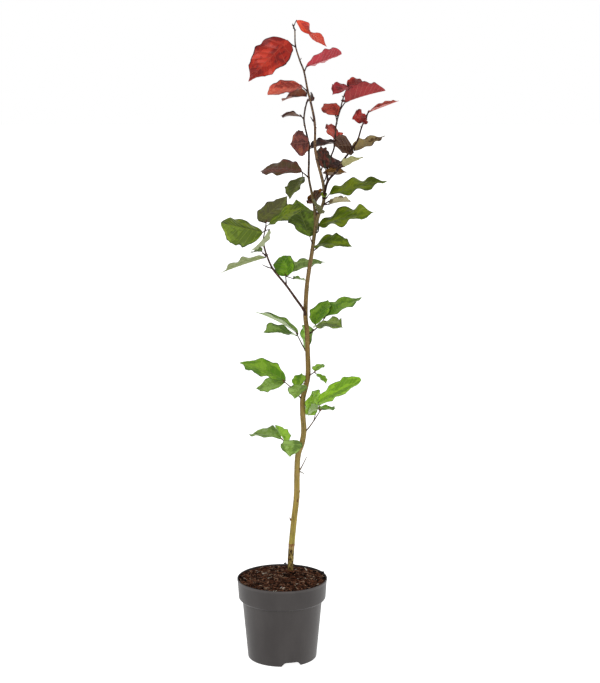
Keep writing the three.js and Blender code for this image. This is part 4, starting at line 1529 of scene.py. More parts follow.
    def buds(self) -> bpy.types.Object:
        """Next year's buds: one in the angle of every leaf, one on every tip, and a row up every limb.

        Returns:
            The piece.
        """
        skin = Skin()
        on, away, lift = self.leaf_bud_aim
        key = 0
        for spray in SPRAYS:
            points = spray_points(spray)
            ahead = unit(points[-1] - points[-2])
            tip = points[-1] + ahead * self.tip_bud_seat
            self.bud(skin, tip, ahead + self.tip_bud_lift * UP, SHOOT_TIP_BUD.long, SHOOT_TIP_BUD.wide)
            for leaf in spray.leaves:
                stalk = unit(np.array(leaf.stalk, float))
                back = unit(points[leaf.at] - points[max(leaf.at - 1, 0)])
                aim = back * on - stalk * away + UP * lift
                long = LEAF_BUD.long + LEAF_BUD.spread * dice(key, LEAF_BUD.roll)
                self.bud(skin, points[leaf.at] + unit(aim) * self.leaf_bud_seat, aim, long, LEAF_BUD.wide)
                key += 1
        for name, limb in LIMBS.items():
            points = limb_points(name)
            ahead = unit(points[-1] - points[-2])
            self.bud(skin, points[-1], ahead, LIMB_TIP_BUD.long, LIMB_TIP_BUD.wide)
            first = self.first_stem_bud if limb.carrier is None else self.first_bough_bud
            for i in range(first, len(points) - 1):
                about = 2 * np.pi * dice(i, 3) + (i % 2) * np.pi
                out = np.array([math.cos(about), math.sin(about), self.node_bud_rise])
                radius = float(limb.radius_at(np.array(i / (len(points) - 1))))
                long = NODE_BUD.long + NODE_BUD.spread * dice(i, NODE_BUD.roll)
                foot = points[i] + out * (radius * self.node_bud_seat)
                self.bud(skin, foot, out + UP * self.node_bud_lift, long, NODE_BUD.wide)
        for mark in STEM_MARKS:
            foot = point_at("trunk", mark.height) + np.array(mark.out)
            self.bud(skin, foot, np.array(mark.aim), mark.long, mark.wide)
        piece = skin.build("buds", [self.bud_bark.material("bud_scales")], mark="corky_dots")
        return dress(piece, "shoot_bark")

    def make(self) -> None:
        """Builds the woody pieces from the stem outwards."""
        self.stem()
        self.boughs("leader", self.leader_bark, ("bough_left_leader",), LEADER_THROWS)
        darker = ("bough_left_low", "bough_right", "bough_middle")
        self.boughs("boughs", self.shoot_bark, darker, BOUGH_THROWS, bare=("trunk",))
        self.twigs()
        self.buds()


# ---- Leaves ------------------------------------------------------------------------------


@dataclass(frozen=True)
class BladeForm:
    """What all blades share: outline, ruffle, veins and thickness, in millimetres and shares of the blade."""

    width_share: float = 0.6
    stalk_end: float = 1.6
    tip_end: float = 0.7
    fullness: float = 0.75
    tip_from: float = 0.8
    tip_loss: float = 0.25
    twist_middle: float = 0.45
    twist_speed: float = 12.0
    ruffle: float = 0.045
    lobe: float = 0.035
    lobe_rate: float = 1.7
    ruffle_rate: float = 2.6
    rate_spread: float = 0.9
    ruffle_edge: float = 1.7
    sweep: float = 0.27
    sweep_loss: float = 0.35
    vein_gap: float = 9.5
    fewest_veins: int = 4
    most_veins: int = 9
    pleat: float = 0.030
    pleat_from: float = 0.2
    pleat_loss: float = 0.45
    tooth: float = 0.035
    thick: float = 0.42
    thin: float = 0.22
    rib: float = 0.75
    rib_loss: float = 0.75
    rib_half_width: float = 0.55
    vein_rib: float = 0.22
    vein_rib_loss: float = 0.7
    drip_from: float = 0.78
    drip_loss: float = 0.42
    patch_from: float = 0.60
    shade_to: float = 0.42
    rim_from: float = 0.45
    rim_out: float = 0.965
    wide_rim_out: float = 0.93
    rib_out: float = 0.03
    vein_out: float = 0.9
    vein_ends: Pair = (0.03, 0.97)
    spot_grain: Pair = (3.6, 2.2)
    fleck_grain: Pair = (13.0, 7.0)
    spot_share: float = 0.7
    fleck_share: float = 0.3
    rim_grain: float = 9.0
    crack: tuple[float, ...] = (0.035, 0.16, 0.31, 0.44, 0.56, 0.69, 0.84, 0.965)
    lanes: tuple[float, ...] = (
        0.022, 0.06, 0.12, 0.19, 0.27, 0.35, 0.43, 0.51, 0.59, 0.67, 0.75, 0.82, 0.88, 0.93, 0.97, 1.0,
    )


FORM = BladeForm()


@dataclass
class Blade:
    """One leaf blade, drawn by two numbers: s from stalk to tip, and t from edge to edge."""

    leaf: Leaf
    base: np.ndarray
    key: int

    def axes(self) -> tuple[np.ndarray, np.ndarray, np.ndarray]:
        """The leaf's own directions, from turn, rise and roll.

        Returns:
            The chord from stalk to tip, the normal and the side, each of length 1.
        """
        turn, rise, roll = np.radians([self.leaf.turn, self.leaf.rise, self.leaf.roll])
        chord = np.array([np.cos(turn) * np.cos(rise), np.sin(turn) * np.cos(rise), np.sin(rise)])
        level = unit(UP - chord[2] * chord)
        across = np.cross(chord, level)
        normal = level * np.cos(roll) + across * np.sin(roll)
        return chord, normal, across * np.cos(roll) - level * np.sin(roll)

    def midrib(self, s: np.ndarray) -> np.ndarray:
        """Points of the midrib: an arc that turns through the bow between stalk and tip.

        Args:
            s: Places along the blade, from 0 to 1.

        Returns:
            A point for each place.
        """
        chord, normal, _ = self.axes()
        bow = math.radians(self.leaf.bow)
        if bow == 0:
            ahead, lift, reach = s, np.zeros_like(s), 1.0
        else:
            angle = bow * (0.5 - s)
            ahead = (np.sin(bow / 2) - np.sin(angle)) / bow
            lift = (np.cos(angle) - np.cos(bow / 2)) / bow
            reach = math.sin(bow / 2) / (bow / 2)
        long = self.leaf.long / reach
        return self.base + long * ahead[..., None] * chord + long * lift[..., None] * normal

    def swing(self, s: np.ndarray) -> np.ndarray:
        """Twist about the midrib: a smooth step half way along the blade."""
        step = 1 / (1 + np.exp(-(s - FORM.twist_middle) * FORM.twist_speed))
        return math.radians(self.leaf.twist) * (step - 0.5)

    def directions(self, s: np.ndarray) -> tuple[np.ndarray, np.ndarray]:
        """The blade's own directions, turned about the midrib by the twist.

        Upwards is face cos(swing) - side sin(swing), and across is side cos(swing) + face sin(swing).

        Args:
            s: Places along the blade.

        Returns:
            The direction that the upper side faces, and the one across it.
        """
        chord, normal, side = self.axes()
        angle = math.radians(self.leaf.bow) * (0.5 - s)
        face = np.cos(angle)[..., None] * normal - np.sin(angle)[..., None] * chord
        swing = self.swing(s)[..., None]
        return face * np.cos(swing) - side * np.sin(swing), side * np.cos(swing) + face * np.sin(swing)

    def half_width(self, s: np.ndarray) -> np.ndarray:
        """Half the width: sin(pi s^belly)^fullness, a little less towards the tip, which is drawn out.

        Args:
            s: Places along the blade.

        Returns:
            Half the width at each place.
        """
        wide = self.leaf.wide or FORM.width_share * self.leaf.long
        tip = np.clip((s - FORM.tip_from) / (1 - FORM.tip_from), 0, 1)
        drip = np.clip((s - FORM.drip_from) / (1 - FORM.drip_from), 0, 1)
        fullness = FORM.fullness * self.leaf.blunt
        belly = np.sin(np.pi * np.clip(s, 0, 1) ** self.leaf.belly).clip(0) ** fullness
        ends = FORM.stalk_end + (FORM.tip_end - FORM.stalk_end) * s
        drawn = 1 - FORM.drip_loss * self.leaf.drip * np.sin(0.5 * np.pi * drip)
        return np.maximum(wide * belly * (1 - FORM.tip_loss * tip) * drawn, ends) / 2

    def veins(self) -> int:
        """Number of vein pairs, about one for every vein gap of length."""
        return int(np.clip(round(self.leaf.long / FORM.vein_gap), FORM.fewest_veins, FORM.most_veins))

    def grid(self) -> tuple[np.ndarray, np.ndarray, np.ndarray]:
        """Rows that follow the side veins: s = u + sweep |t| sin(pi u), swept less towards the tip.

        Returns:
            s, t and the place of each row between its two veins, all of rows x lanes.
        """
        veins = self.veins()
        crack = np.array(FORM.crack)
        rows = (np.arange(veins)[:, None] + crack).ravel() / veins
        rows = np.r_[0, rows, 1]
        lanes = np.array(FORM.lanes)
        t = np.r_[-lanes[::-1], lanes][None, :] * np.ones((len(rows), 1))
        u = rows[:, None] * np.ones_like(t)
        s = np.clip(u + FORM.sweep * np.abs(t) * np.sin(np.pi * u) * (1 - FORM.sweep_loss * u), 0, 1)
        return s, t, (u * veins) % 1

    def surface(self) -> tuple[np.ndarray, np.ndarray]:
        """The two skins of the blade.

        The middle surface is midrib + half width (t cos fold) across + half width (|t| sin fold)
        along the normal, with the ruffle, the lobes and the pleats between the veins on top; the two
        skins lie half a thickness to either side, and the ribs stand proud of the lower one.

        Returns:
            Points of the upper and of the lower skin, each rows x lanes.
        """
        leaf = self.leaf
        s, t, place = self.grid()
        edge = np.where(t > 0, 0, 1)
        out = np.abs(t)
        wide = leaf.wide or FORM.width_share * leaf.long
        rate = FORM.ruffle_rate + FORM.rate_spread * dice(self.key, 4)
        phase = 2 * np.pi * np.array([dice(self.key, roll) for roll in range(4)])
        lobe = 1 + FORM.lobe * leaf.wave * np.sin(2 * np.pi * rate * FORM.lobe_rate * s + phase[2 + edge] + 1)
        between = np.sin(np.pi * place)
        ends = np.sin(np.pi * s).clip(0) ** 0.5
        notch = 1 + FORM.tooth * (1 - between) ** 2 * out**3 * ends
        half = self.half_width(s) * lobe * notch
        fold = math.radians(leaf.fold) - math.radians(leaf.cup) * out / 2
        sway = np.sin(2 * np.pi * rate * s + phase[edge])
        ruffle = FORM.ruffle * wide * leaf.wave * out**FORM.ruffle_edge * sway * ends
        grown = np.clip(out / FORM.pleat_from, 0, 1)
        rise = between**0.8 * grown * (1 - FORM.pleat_loss * out) * ends
        pleat = FORM.pleat * wide * (rise - 0.5 * grown * ends)
        facing, across = self.directions(s)
        middle = self.midrib(s) + across * (half * t * np.cos(fold))[..., None]
        middle = middle + facing * (half * out * np.sin(fold) + ruffle + pleat)[..., None]
        thick = FORM.thick + (FORM.thin - FORM.thick) * out**2
        rib = FORM.rib * (1 - FORM.rib_loss * s) * np.exp(-((half * out / FORM.rib_half_width) ** 2))
        vein = FORM.vein_rib * (1 - between) ** 6 * (1 - FORM.vein_rib_loss * out) * ends
        upper = middle + facing * (thick / 2)[..., None]
        lower = middle - facing * (thick / 2 + rib + vein)[..., None]
        return upper, lower

    def zones(self) -> tuple[np.ndarray, np.ndarray]:
        """Gives each cell its colour: veins in narrow cells, an edge along the rim, patches by drift.

        Returns:
            Zone numbers of the cells of the upper and of the lower skin.
        """
        s, t, place = self.grid()
        row = 0.25 * (s[:-1, :-1] + s[1:, :-1] + s[:-1, 1:] + s[1:, 1:])
        lane = 0.25 * (t[:-1, :-1] + t[1:, :-1] + t[:-1, 1:] + t[1:, 1:])
        out = np.abs(lane)
        on_vein = (place[1:, :-1] <= FORM.crack[0] + 1e-6) & (place[:-1, :-1] >= FORM.crack[-1] - 1e-6)
        first, last = FORM.vein_ends
        on_vein = on_vein & (out < FORM.vein_out) & (row > first) & (row < last)
        on_rib = out < FORM.rib_out
        along, across = FORM.spot_grain
        spot = drift(row * along + self.key, lane * across + 9, 2.0 + self.key)
        along, across = FORM.fleck_grain
        fleck = drift(row * along + self.key, lane * across, 5.0 + self.key)
        mottle = FORM.spot_share * spot + FORM.fleck_share * fleck
        upper = np.where(mottle > FORM.patch_from, Zone.PATCH.value, Zone.FACE.value)
        upper = np.where(mottle < FORM.shade_to, Zone.SHADE.value, upper)
        upper = np.where(on_vein | on_rib, Zone.VEIN.value, upper)
        wobble = drift(row * FORM.rim_grain + self.key, np.sign(lane), 7.0 + self.key)
        rim = (out > FORM.rim_out) | ((out > FORM.wide_rim_out) & (wobble > FORM.rim_from))
        upper = np.where(rim, Zone.EDGE.value, upper)
        lower = np.where(mottle < FORM.shade_to, Zone.UNDER_PATCH.value, Zone.UNDER.value)
        lower = np.where(on_vein | on_rib, Zone.UNDER_VEIN.value, lower)
        lower = np.where(out > FORM.rim_out, Zone.EDGE.value, lower)
        return upper, lower

    def add_to(self, skin: Skin, first_zone: int) -> None:
        """Adds the closed blade: rings run over the upper skin and back along the lower one.

        Args:
            skin: Piece that takes the blade.
            first_zone: Number of the tint's first material in the piece.
        """
        upper, lower = self.surface()
        rows, lanes = upper.shape[:2]
        rings = np.concatenate([upper, lower[:, ::-1]], axis=1)
        around = 2 * lanes
        above, below = self.zones()
        rim = np.full((rows - 1, 1), Zone.EDGE.value)
        zones = np.concatenate([above, rim, below[:, ::-1], rim], axis=1)
        j = np.arange(lanes - 1)
        stalk_end = np.stack([j, around - 1 - j, around - 2 - j, j + 1], axis=-1)
        last = (rows - 1) * around
        tip_end = last + np.stack([j, j + 1, around - 2 - j, around - 1 - j], axis=-1)
        faces = np.vstack([ring_faces(rows, around), stalk_end, tip_end])
        ends = np.full(2 * (lanes - 1), Zone.EDGE.value)
        skin.add(rings, faces, first_zone + np.r_[zones.ravel(), ends])


@dataclass
class Foliage:
    """All the leaves, joined into pieces by colour, and by height where one colour has many."""

    finish: BladeFinish = BladeFinish()
    waist: float = 740.0
    crease: float = 50.0

    def piece_of(self, leaf: Leaf, foot: float) -> str:
        """Names the piece that a leaf belongs to: by its slot, and green ones also by the waist.

        Args:
            leaf: The leaf.
            foot: Height of its shoot's foot.

        Returns:
            Name of the piece.
        """
        slot = leaf.tint.value.slot
        if slot != "leaf_green":
            return slot.replace("leaf_", "leaves_")
        return "leaves_green_low" if foot < self.waist else "leaves_green_high"

    def make(self) -> None:
        """Grows every leaf and builds the pieces."""
        skins: dict[str, Skin] = {}
        tints: dict[str, list[Tint]] = {}
        nodes: dict[str, set[str]] = {}
        key = 0
        for spray in SPRAYS:
            points = spray_points(spray)
            for leaf in spray.leaves:
                base = points[leaf.at] + np.array(leaf.stalk, float)
                name = self.piece_of(leaf, points[0, 2])
                skin = skins.setdefault(name, Skin())
                used = tints.setdefault(name, [])
                nodes.setdefault(name, set()).add(f"foliage_{spray.name}")
                if leaf.tint not in used:
                    used.append(leaf.tint)
                Blade(leaf, base, key).add_to(skin, used.index(leaf.tint) * len(Zone))
                key += 1
        for name, skin in skins.items():
            materials = [
                self.finish.material(f"leaf_{tint.name.lower()}_{zone.name.lower()}", tint.value.colour(zone))
                for tint in tints[name]
                for zone in Zone
            ]
            piece = skin.build(name, materials, crease=self.crease)
            dress(piece, tints[name][0].value.slot, *sorted(nodes[name]))


# ---- Pot and compost ---------------------------------------------------------------------

POT_FLOOR = 9.6
POT_OUTSIDE = (
    (63.5, 0), (65, 1.5), (75.6, 114.8), (79, 114.3), (82.2, 117.6), (84.3, 150), (85, 151.3), (85, 155),
)
POT_INSIDE = ((83.2, 155), (80.8, 119.4), (78.6, 116.6), (74, 116.2), (63.9, POT_FLOOR))


@dataclass
class Pot:
    """The nursery pot: a tapering wall, a collar with a rolled lip, and drainage notches in its foot."""

    around: int = 192
    rounding: float = 0.8
    rounding_share: float = 0.42
    arc: int = 5
    stretch: int = 3
    crease: float = 34.0
    notches: int = 3
    first_notch: float = -74.0
    notch_foot: float = 40.0
    notch_head: float = 22.0
    notch_height: float = 8.1
    notch_inner: float = 26.0
    notch_outer: float = 70.0
    notch_round: float = 3.0
    notch_below: float = -1.0
    notch_toe: Pair = (1.0, 0.4)
    notch_shoulder: Pair = (1.0, 0.6)
    finish: PotFinish = PotFinish()

    def outline(self) -> np.ndarray:
        """The pot's section, up the outside and down the inside, each corner rounded by a quadratic curve.

        Returns:
            Radius and height of each point.
        """
        points = np.array([(0.0, 0.0), *POT_OUTSIDE, *POT_INSIDE, (0.0, POT_FLOOR)], float)
        before, corner, after = points[:-2], points[1:-1], points[2:]
        back, on = before - corner, after - corner
        short = np.minimum(np.linalg.norm(back, axis=1), np.linalg.norm(on, axis=1))
        cut = np.minimum(self.rounding, self.rounding_share * short)[:, None]
        start, end = corner + unit(back) * cut, corner + unit(on) * cut
        f = np.linspace(0, 1, self.arc)[None, :, None]
        arcs = start[:, None] * (1 - f) ** 2 + corner[:, None] * 2 * f * (1 - f) + end[:, None] * f**2
        return arcs.reshape(-1, 2)

    def make(self) -> bpy.types.Object:
        """Spins the outline, cuts the notches and dresses the pot.

        Returns:
            The piece.
        """
        outline = self.outline()
        fine = np.linspace(0, len(outline) - 1, self.stretch * (len(outline) - 1) + 1)
        radii = np.interp(fine, np.arange(len(outline)), outline[:, 0])
        heights = np.interp(fine, np.arange(len(outline)), outline[:, 1])
        skin = Skin()
        skin.add(*spun(radii, heights, self.around))
        piece = skin.build("pot_shell", [self.finish.material("pot_plastic")])
        cutter = self.cutter()
        cut = piece.modifiers.new("notches", "BOOLEAN")
        cut.object = cutter
        cut.operation = "DIFFERENCE"
        cut.solver = "EXACT"
        finished = piece.evaluated_get(bpy.context.evaluated_depsgraph_get())
        cut_mesh = bpy.data.meshes.new_from_object(finished)
        piece.modifiers.clear()
        piece.data = cut_mesh
        bpy.data.objects.remove(cutter)
        cut_mesh.set_sharp_from_angle(angle=math.radians(self.crease))
        return dress(piece, "pot_plastic", "pot")

    def cutter(self) -> bpy.types.Object:
        """The notch blocks: a flared slot with rounded top corners, set round the foot.

        Returns:
            One object that holds all blocks, which the pot is cut with.
        """
        foot, head, high, soft = self.notch_foot / 2, self.notch_head / 2, self.notch_height, self.notch_round
        toe = np.array([(foot, self.notch_below), (foot - self.notch_toe[0], self.notch_toe[1])])
        start = np.array([head + soft, high - soft * self.notch_shoulder[1]])
        corner = np.array([head + self.notch_shoulder[0], high])
        end = np.array([head - soft, high])
        f = np.linspace(0, 1, self.arc)[:, None]
        right = np.vstack([toe, start * (1 - f) ** 2 + corner * 2 * f * (1 - f) + end * f**2])
        shape = np.vstack([right, right[::-1] * [-1, 1]])
        skin = Skin()
        for i in range(self.notches):
            about = math.radians(self.first_notch + 360 * i / self.notches)
            out = np.array([math.cos(about), math.sin(about), 0.0])
            aside = np.array([-out[1], out[0], 0.0])
            rings = [
                out * reach + aside * shape[:, :1] + UP * shape[:, 1:]
                for reach in (self.notch_inner, self.notch_outer)
            ]
            middles = np.array([ring.mean(axis=0) for ring in rings])
            skin.add(np.vstack([*rings, middles]), capped_faces(len(rings), len(shape)))
        return skin.build("notch_blocks", [])


# radius and height of the bed's level, and of its side where it follows the inside of the pot
BED_LEVEL = ((0, 151.6), (30, 152.0), (60, 153.0), (76, 152.8), (82.5, 151.8))
BED_SIDE = ((63.4, 10.0), (73.5, 116.2), (78.0, 117.0), (80.2, 120.0))

# crumbs on the lip and against the wall: place and radius
LEDGE_CRUMBS = (
    (4.8, 83.4, 156.6, 2.0),
    (7.0, 82.8, 156.1, 1.2),
    (22.0, 79.5, 155.9, 1.3),
    (77.6, 29.8, 156.4, 1.8),
    (78.8, 27.4, 156.2, 1.2),
    (75.6, 33.0, 156.0, 1.3),
)


@dataclass
class Compost:
    """The compost: a crumbly bed heaped round the stem, and the shreds and crumbs that lie on it.

    A pair of sizes gives the least and how much more the largest has. Browns are the shares of the
    throws at which the next lighter brown starts.
    """

    radius: float = 82.3
    around: int = 260
    rings: int = 110
    ring_start: float = 0.004
    ring_power: float = 0.75
    mound_forward: float = 4.0
    mound_height: float = 7.5
    mound_reach: float = 12.0
    lump: float = 9.0
    lump_depth: float = 2.6
    grain: float = 2.3
    grain_depth: float = 1.7
    dust: float = 0.9
    dust_depth: float = 0.7
    settled: float = 0.6
    shreds: int = 2600
    shred_reach: float = 0.965
    shred_long: Pair = (6.0, 16.0)
    shred_wide: Pair = (0.8, 1.3)
    shred_flat: Pair = (0.3, 0.5)
    shred_tilt: float = 0.5
    shred_bank: float = 0.4
    shred_curl: float = 2.2
    shred_sag: float = 0.4
    shred_cut: float = 0.25
    shred_crease: float = 40.0
    shred_rest: Pair = (0.25, 0.5)
    shred_taper: tuple[float, ...] = (0.35, 0.9, 1.0, 0.85, 0.3)
    shred_browns: tuple[float, ...] = (0.16, 0.36, 0.58, 0.76, 0.88, 0.955, 0.988)
    crumbs: int = 220
    crumb_reach: float = 0.96
    crumb_size: Pair = (0.7, 1.7)
    crumb_rough: Pair = (0.7, 0.6)
    crumb_rest: float = 0.3
    crumb_belts: tuple[float, ...] = (0.75, 1.0, 0.7)
    crumb_levels: tuple[float, ...] = (-0.55, 0.0, 0.55)
    crumb_pole: float = 0.85
    crumb_around: int = 6
    crumb_crease: float = 50.0
    crumb_browns: tuple[float, ...] = (0.35, 0.6, 0.78, 0.88, 0.93, 0.97, 0.985)
    finish: CompostFinish = CompostFinish()

    def height(self, x: np.ndarray, y: np.ndarray) -> np.ndarray:
        """Height of the bed: nearly level, with a heap round the stem and three sizes of grain.

        Args:
            x: Place across.
            y: Place in depth.

        Returns:
            Height above the ground.
        """
        r = np.hypot(x, y)
        foot = LIMBS["trunk"].start
        away = np.hypot(x - foot[0], y - foot[1] + self.mound_forward)
        level = np.interp(r, *zip(*BED_LEVEL))
        heap = self.mound_height * np.exp(-((away / self.mound_reach) ** 2))
        lumps = self.lump_depth * (drift(x / self.lump, y / self.lump, 3.0) - 0.5)
        grains = self.grain_depth * (drift(x / self.grain, y / self.grain, 6.0) - 0.5)
        dust = self.dust_depth * (drift(x / self.dust, y / self.dust, 8.0) - 0.5)
        return level + heap + lumps + grains + dust - self.settled

    def bed(self) -> bpy.types.Object:
        """The closed bed: a polar sheet on top, the pot's inside as its wall and floor.

        Returns:
            The piece.
        """
        reach = self.radius * np.linspace(self.ring_start, 1, self.rings) ** self.ring_power
        turn = np.linspace(0, 2 * np.pi, self.around, endpoint=False)
        x, y = reach[:, None] * np.cos(turn), reach[:, None] * np.sin(turn)
        top = np.stack([x, y, self.height(x, y)], axis=-1)[::-1]
        side = np.array(BED_SIDE)
        rings = np.concatenate([hoops(side[:, 0], side[:, 1], self.around), top])
        middle = self.height(np.zeros(1), np.zeros(1))[0]
        points = np.vstack([rings.reshape(-1, 3), [0, 0, side[0, 1]], [0, 0, middle]])
        skin = Skin()
        skin.add(points, capped_faces(len(rings), self.around))
        piece = skin.build("compost_bed", [self.finish.ground_material("compost_ground")])
        return dress(piece, "compost", "compost")

    def shred_layer(self) -> bpy.types.Object:
        """Bark shreds: bent slivers of four sides, lying at all angles on the bed.

        A shred is a row of five cross-sections along its own length; its middle sags or lifts by a
        parabola, and it rests a little above the bed under its centre. The throws for its size are
        raised to a power, which makes small ones common.

        Returns:
            The piece.
        """
        i = np.arange(self.shreds)
        out = self.radius * self.shred_reach * np.sqrt(dice(i, 1.1))
        about = 2 * np.pi * dice(i, 2.2)
        x, y = out * np.cos(about), out * np.sin(about)
        long = self.shred_long[0] + self.shred_long[1] * dice(i, 3.3) ** 1.6
        wide = self.shred_wide[0] + self.shred_wide[1] * dice(i, 4.4) ** 1.8
        flat = self.shred_flat[0] + self.shred_flat[1] * dice(i, 5.5)
        heading = 2 * np.pi * dice(i, 6.6)
        tilt = self.shred_tilt * (dice(i, 7.7) - 0.5)
        curl = self.shred_curl * (dice(i, 8.8) - self.shred_sag)
        level = np.cos(tilt)
        ahead = np.stack([np.cos(heading) * level, np.sin(heading) * level, np.sin(tilt)], axis=-1)
        bank = self.shred_bank * (dice(i, 9.9) - 0.5)
        aside = np.stack([-np.sin(heading), np.cos(heading), bank], axis=-1)
        aside = unit(aside - (aside * ahead).sum(axis=1, keepdims=True) * ahead)
        above = np.cross(ahead, aside)
        room = np.clip((self.radius - out) / (0.5 * long), self.shred_cut, 1)
        long = long * room
        rest = self.height(x, y) + self.shred_rest[0] + self.shred_rest[1] * dice(i, 10.1)
        centre = np.stack([x, y, rest], axis=-1)
        taper = np.array(self.shred_taper)
        f = np.linspace(-0.5, 0.5, len(taper))
        spine = centre[:, None] + ahead[:, None] * (long[:, None] * f)[..., None]
        spine = spine + above[:, None] * (curl[:, None] * (0.25 - f**2))[..., None]
        corners = np.array([(1, 1), (-1, 1), (-1, -1), (1, -1)]) / 2
        across = (wide[:, None, None] * taper[:, None] * corners[:, 0])[..., None] * aside[:, None, None]
        lift = (flat[:, None, None] * taper[:, None] * corners[:, 1])[..., None] * above[:, None, None]
        points = spine[:, :, None] + across + lift
        foot = np.arange(len(corners))
        head = foot + (len(taper) - 1) * len(corners)
        one = np.vstack([ring_faces(len(taper), len(corners)), foot[::-1], head])
        faces = (one[None] + (len(taper) * len(corners) * i)[:, None, None]).reshape(-1, 4)
        shade = np.searchsorted(self.shred_browns, dice(i, 11.3))
        skin = Skin()
        skin.add(points, faces, np.repeat(shade, len(one)))
        piece = skin.build("bark_shreds", self.finish.shred_materials("bark_shred"), self.shred_crease)
        return dress(piece, "compost")

    def crumb_layer(self) -> bpy.types.Object:
        """Crumbs: lumps of three rings of six corners, each corner pushed in or out by its own throw.

        Returns:
            The piece.
        """
        i = np.arange(self.crumbs)
        out = self.radius * self.crumb_reach * np.sqrt(dice(i, 21.1))
        about = 2 * np.pi * dice(i, 22.2)
        x, y = out * np.cos(about), out * np.sin(about)
        size = self.crumb_size[0] + self.crumb_size[1] * dice(i, 23.3) ** 2
        centre = np.stack([x, y, self.height(x, y) + self.crumb_rest * size], axis=-1)
        strays = np.array(LEDGE_CRUMBS)
        centre[: len(strays)] = strays[:, :3]
        size[: len(strays)] = strays[:, 3]
        belts = hoops(np.array(self.crumb_belts), np.array(self.crumb_levels), self.crumb_around)
        ball = np.vstack([belts.reshape(-1, 3), [0, 0, -self.crumb_pole], [0, 0, self.crumb_pole]])
        pushed = dice(i[:, None] * 3.7, np.arange(len(ball))[None, :] + 30.0)
        rough = self.crumb_rough[0] + self.crumb_rough[1] * pushed
        points = centre[:, None] + ball * (size[:, None] * rough)[..., None]
        one = capped_faces(len(belts), self.crumb_around)
        moved = one[None] + (len(ball) * i)[:, None, None]
        faces = np.where(one[None] == NO_CORNER, NO_CORNER, moved).reshape(-1, 4)
        shade = np.searchsorted(self.crumb_browns, dice(i, 24.1))
        shade[: len(strays)] = 0
        skin = Skin()
        skin.add(points, faces, np.repeat(shade, len(one)))
        piece = skin.build("compost_crumbs", self.finish.shred_materials("compost_crumb"), self.crumb_crease)
        return dress(piece, "compost")

    def make(self) -> None:
        """Builds the bed and what lies on it."""
        self.bed()
        self.shred_layer()
        self.crumb_layer()


# ---- Studio ------------------------------------------------------------------------------


@dataclass(frozen=True)
class SoftLight:
    """A square lamp that looks at the plant: place and size in metres, power in watts."""

    name: str
    place: Vec
    size: float
    power: float
    colour: str = "ffffff"


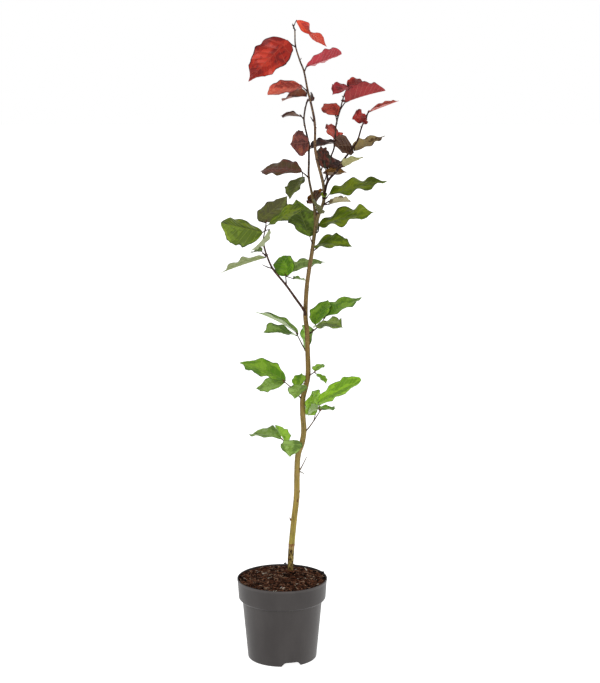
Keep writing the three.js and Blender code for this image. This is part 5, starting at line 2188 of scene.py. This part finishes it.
@dataclass
class Studio:
    """A white room: a bright floor that runs into a bright surround, soft lamps and the camera."""

    camera_place: Vec = (0.03366, -4.0, 1.46)
    camera_tilt: float = 78.02
    lens: float = 116.62
    sensor: float = 36.0
    far: float = 60.0
    aim: Vec = (0.03, 0.0, 0.6)
    surround: float = 1.0
    ceiling: float = 0.42
    left_wall: float = 0.55
    left_wall_reach: Pair = (-0.7, -0.15)
    wall_top: Pair = (0.12, 0.45)
    floor_glow: float = 0.92
    floor_half: float = 9.0
    floor_drop: float = 0.3
    lamps: tuple[SoftLight, ...] = (
        SoftLight("key", (-1.5, -2.4, 3.1), 1.3, 34.0),
        SoftLight("fill", (2.4, -1.8, 1.5), 1.8, 6.0),
    )

    def floor(self) -> None:
        """Lays the floor just under the pot."""
        half = self.floor_half / MM
        signs = np.array([(-1, -1), (1, -1), (1, 1), (-1, 1)])
        skin = Skin()
        skin.add(np.c_[half * signs, np.full(4, -self.floor_drop)], np.array([[0, 1, 2, 3]]))
        glow = {
            "Base Color": linear("f4f4f4"),
            "Roughness": 0.9,
            "Specular IOR Level": 0.0,
            "Emission Color": linear("ffffff"),
            "Emission Strength": self.floor_glow,
        }
        skin.build("studio_floor", [blank_material("white_paper", glow)[0]])

    def surround_light(self) -> None:
        """Fills the room with white light from its walls, and less from its ceiling."""
        world = bpy.data.worlds.new("white_room")
        world.use_nodes = True
        world.node_tree.nodes.clear()
        tree = world.node_tree
        way = add_node(tree, "ShaderNodeTexCoord").outputs["Generated"]
        split = add_node(tree, "ShaderNodeSeparateXYZ", {"Vector": way})
        low, high = self.wall_top
        strength = add_node(
            tree,
            "ShaderNodeMapRange",
            {
                "Value": split.outputs["Z"],
                "From Min": low,
                "From Max": high,
                "To Min": self.surround,
                "To Max": self.ceiling,
            },
            interpolation_type="SMOOTHSTEP",
        )
        aside = add_node(
            tree,
            "ShaderNodeMapRange",
            {
                "Value": split.outputs["X"],
                "From Min": self.left_wall_reach[0],
                "From Max": self.left_wall_reach[1],
                "To Min": self.left_wall,
                "To Max": 1.0,
            },
            interpolation_type="SMOOTHSTEP",
        )
        shaded = add_node(
            tree,
            "ShaderNodeMath",
            {0: strength.outputs["Result"], 1: aside.outputs["Result"]},
            operation="MULTIPLY",
        )
        light = add_node(
            tree, "ShaderNodeBackground", {"Color": linear("ffffff"), "Strength": shaded.outputs[0]}
        )
        add_node(tree, "ShaderNodeOutputWorld", {"Surface": light.outputs[0]})
        bpy.context.scene.world = world

    def lamp(self, light: SoftLight) -> None:
        """Hangs one lamp so that its -Z axis points at the plant.

        Args:
            light: What the lamp is.
        """
        data = bpy.data.lights.new(light.name, "AREA")
        data.size = light.size
        data.energy = light.power
        data.color = linear(light.colour)[:3]
        lamp = bpy.data.objects.new(light.name, data)
        lamp.location = light.place
        toward = np.array(self.aim) - np.array(light.place)
        across = math.hypot(toward[0], toward[1])
        lamp.rotation_euler = (math.atan2(across, -toward[2]), 0.0, math.atan2(-toward[0], toward[1]))
        bpy.context.scene.collection.objects.link(lamp)

    def camera(self) -> None:
        """Sets the camera, level from side to side and tilted a little down."""
        data = bpy.data.cameras.new("camera")
        data.lens = self.lens
        data.sensor_width = self.sensor
        data.clip_end = self.far
        camera = bpy.data.objects.new("camera", data)
        camera.location = self.camera_place
        camera.rotation_euler = (math.radians(self.camera_tilt), 0.0, 0.0)
        bpy.context.scene.collection.objects.link(camera)
        bpy.context.scene.camera = camera

    def make(self) -> None:
        """Sets up the room, its lamps, the camera and a plain rendering of colour."""
        self.floor()
        self.surround_light()
        for light in self.lamps:
            self.lamp(light)
        self.camera()
        bpy.context.scene.view_settings.view_transform = "Standard"
        LOG.info("studio: %d lamps", len(self.lamps))


# ---- Assembly ----------------------------------------------------------------------------


def main() -> None:
    """Loads the frame and builds the room and the plant from the pot up."""
    logging.basicConfig(level=logging.INFO, format="%(name)s: %(message)s")
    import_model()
    Studio().make()
    Pot().make()
    Compost().make()
    Wood().make()
    Foliage().make()


if __name__ == "__main__":
    main()
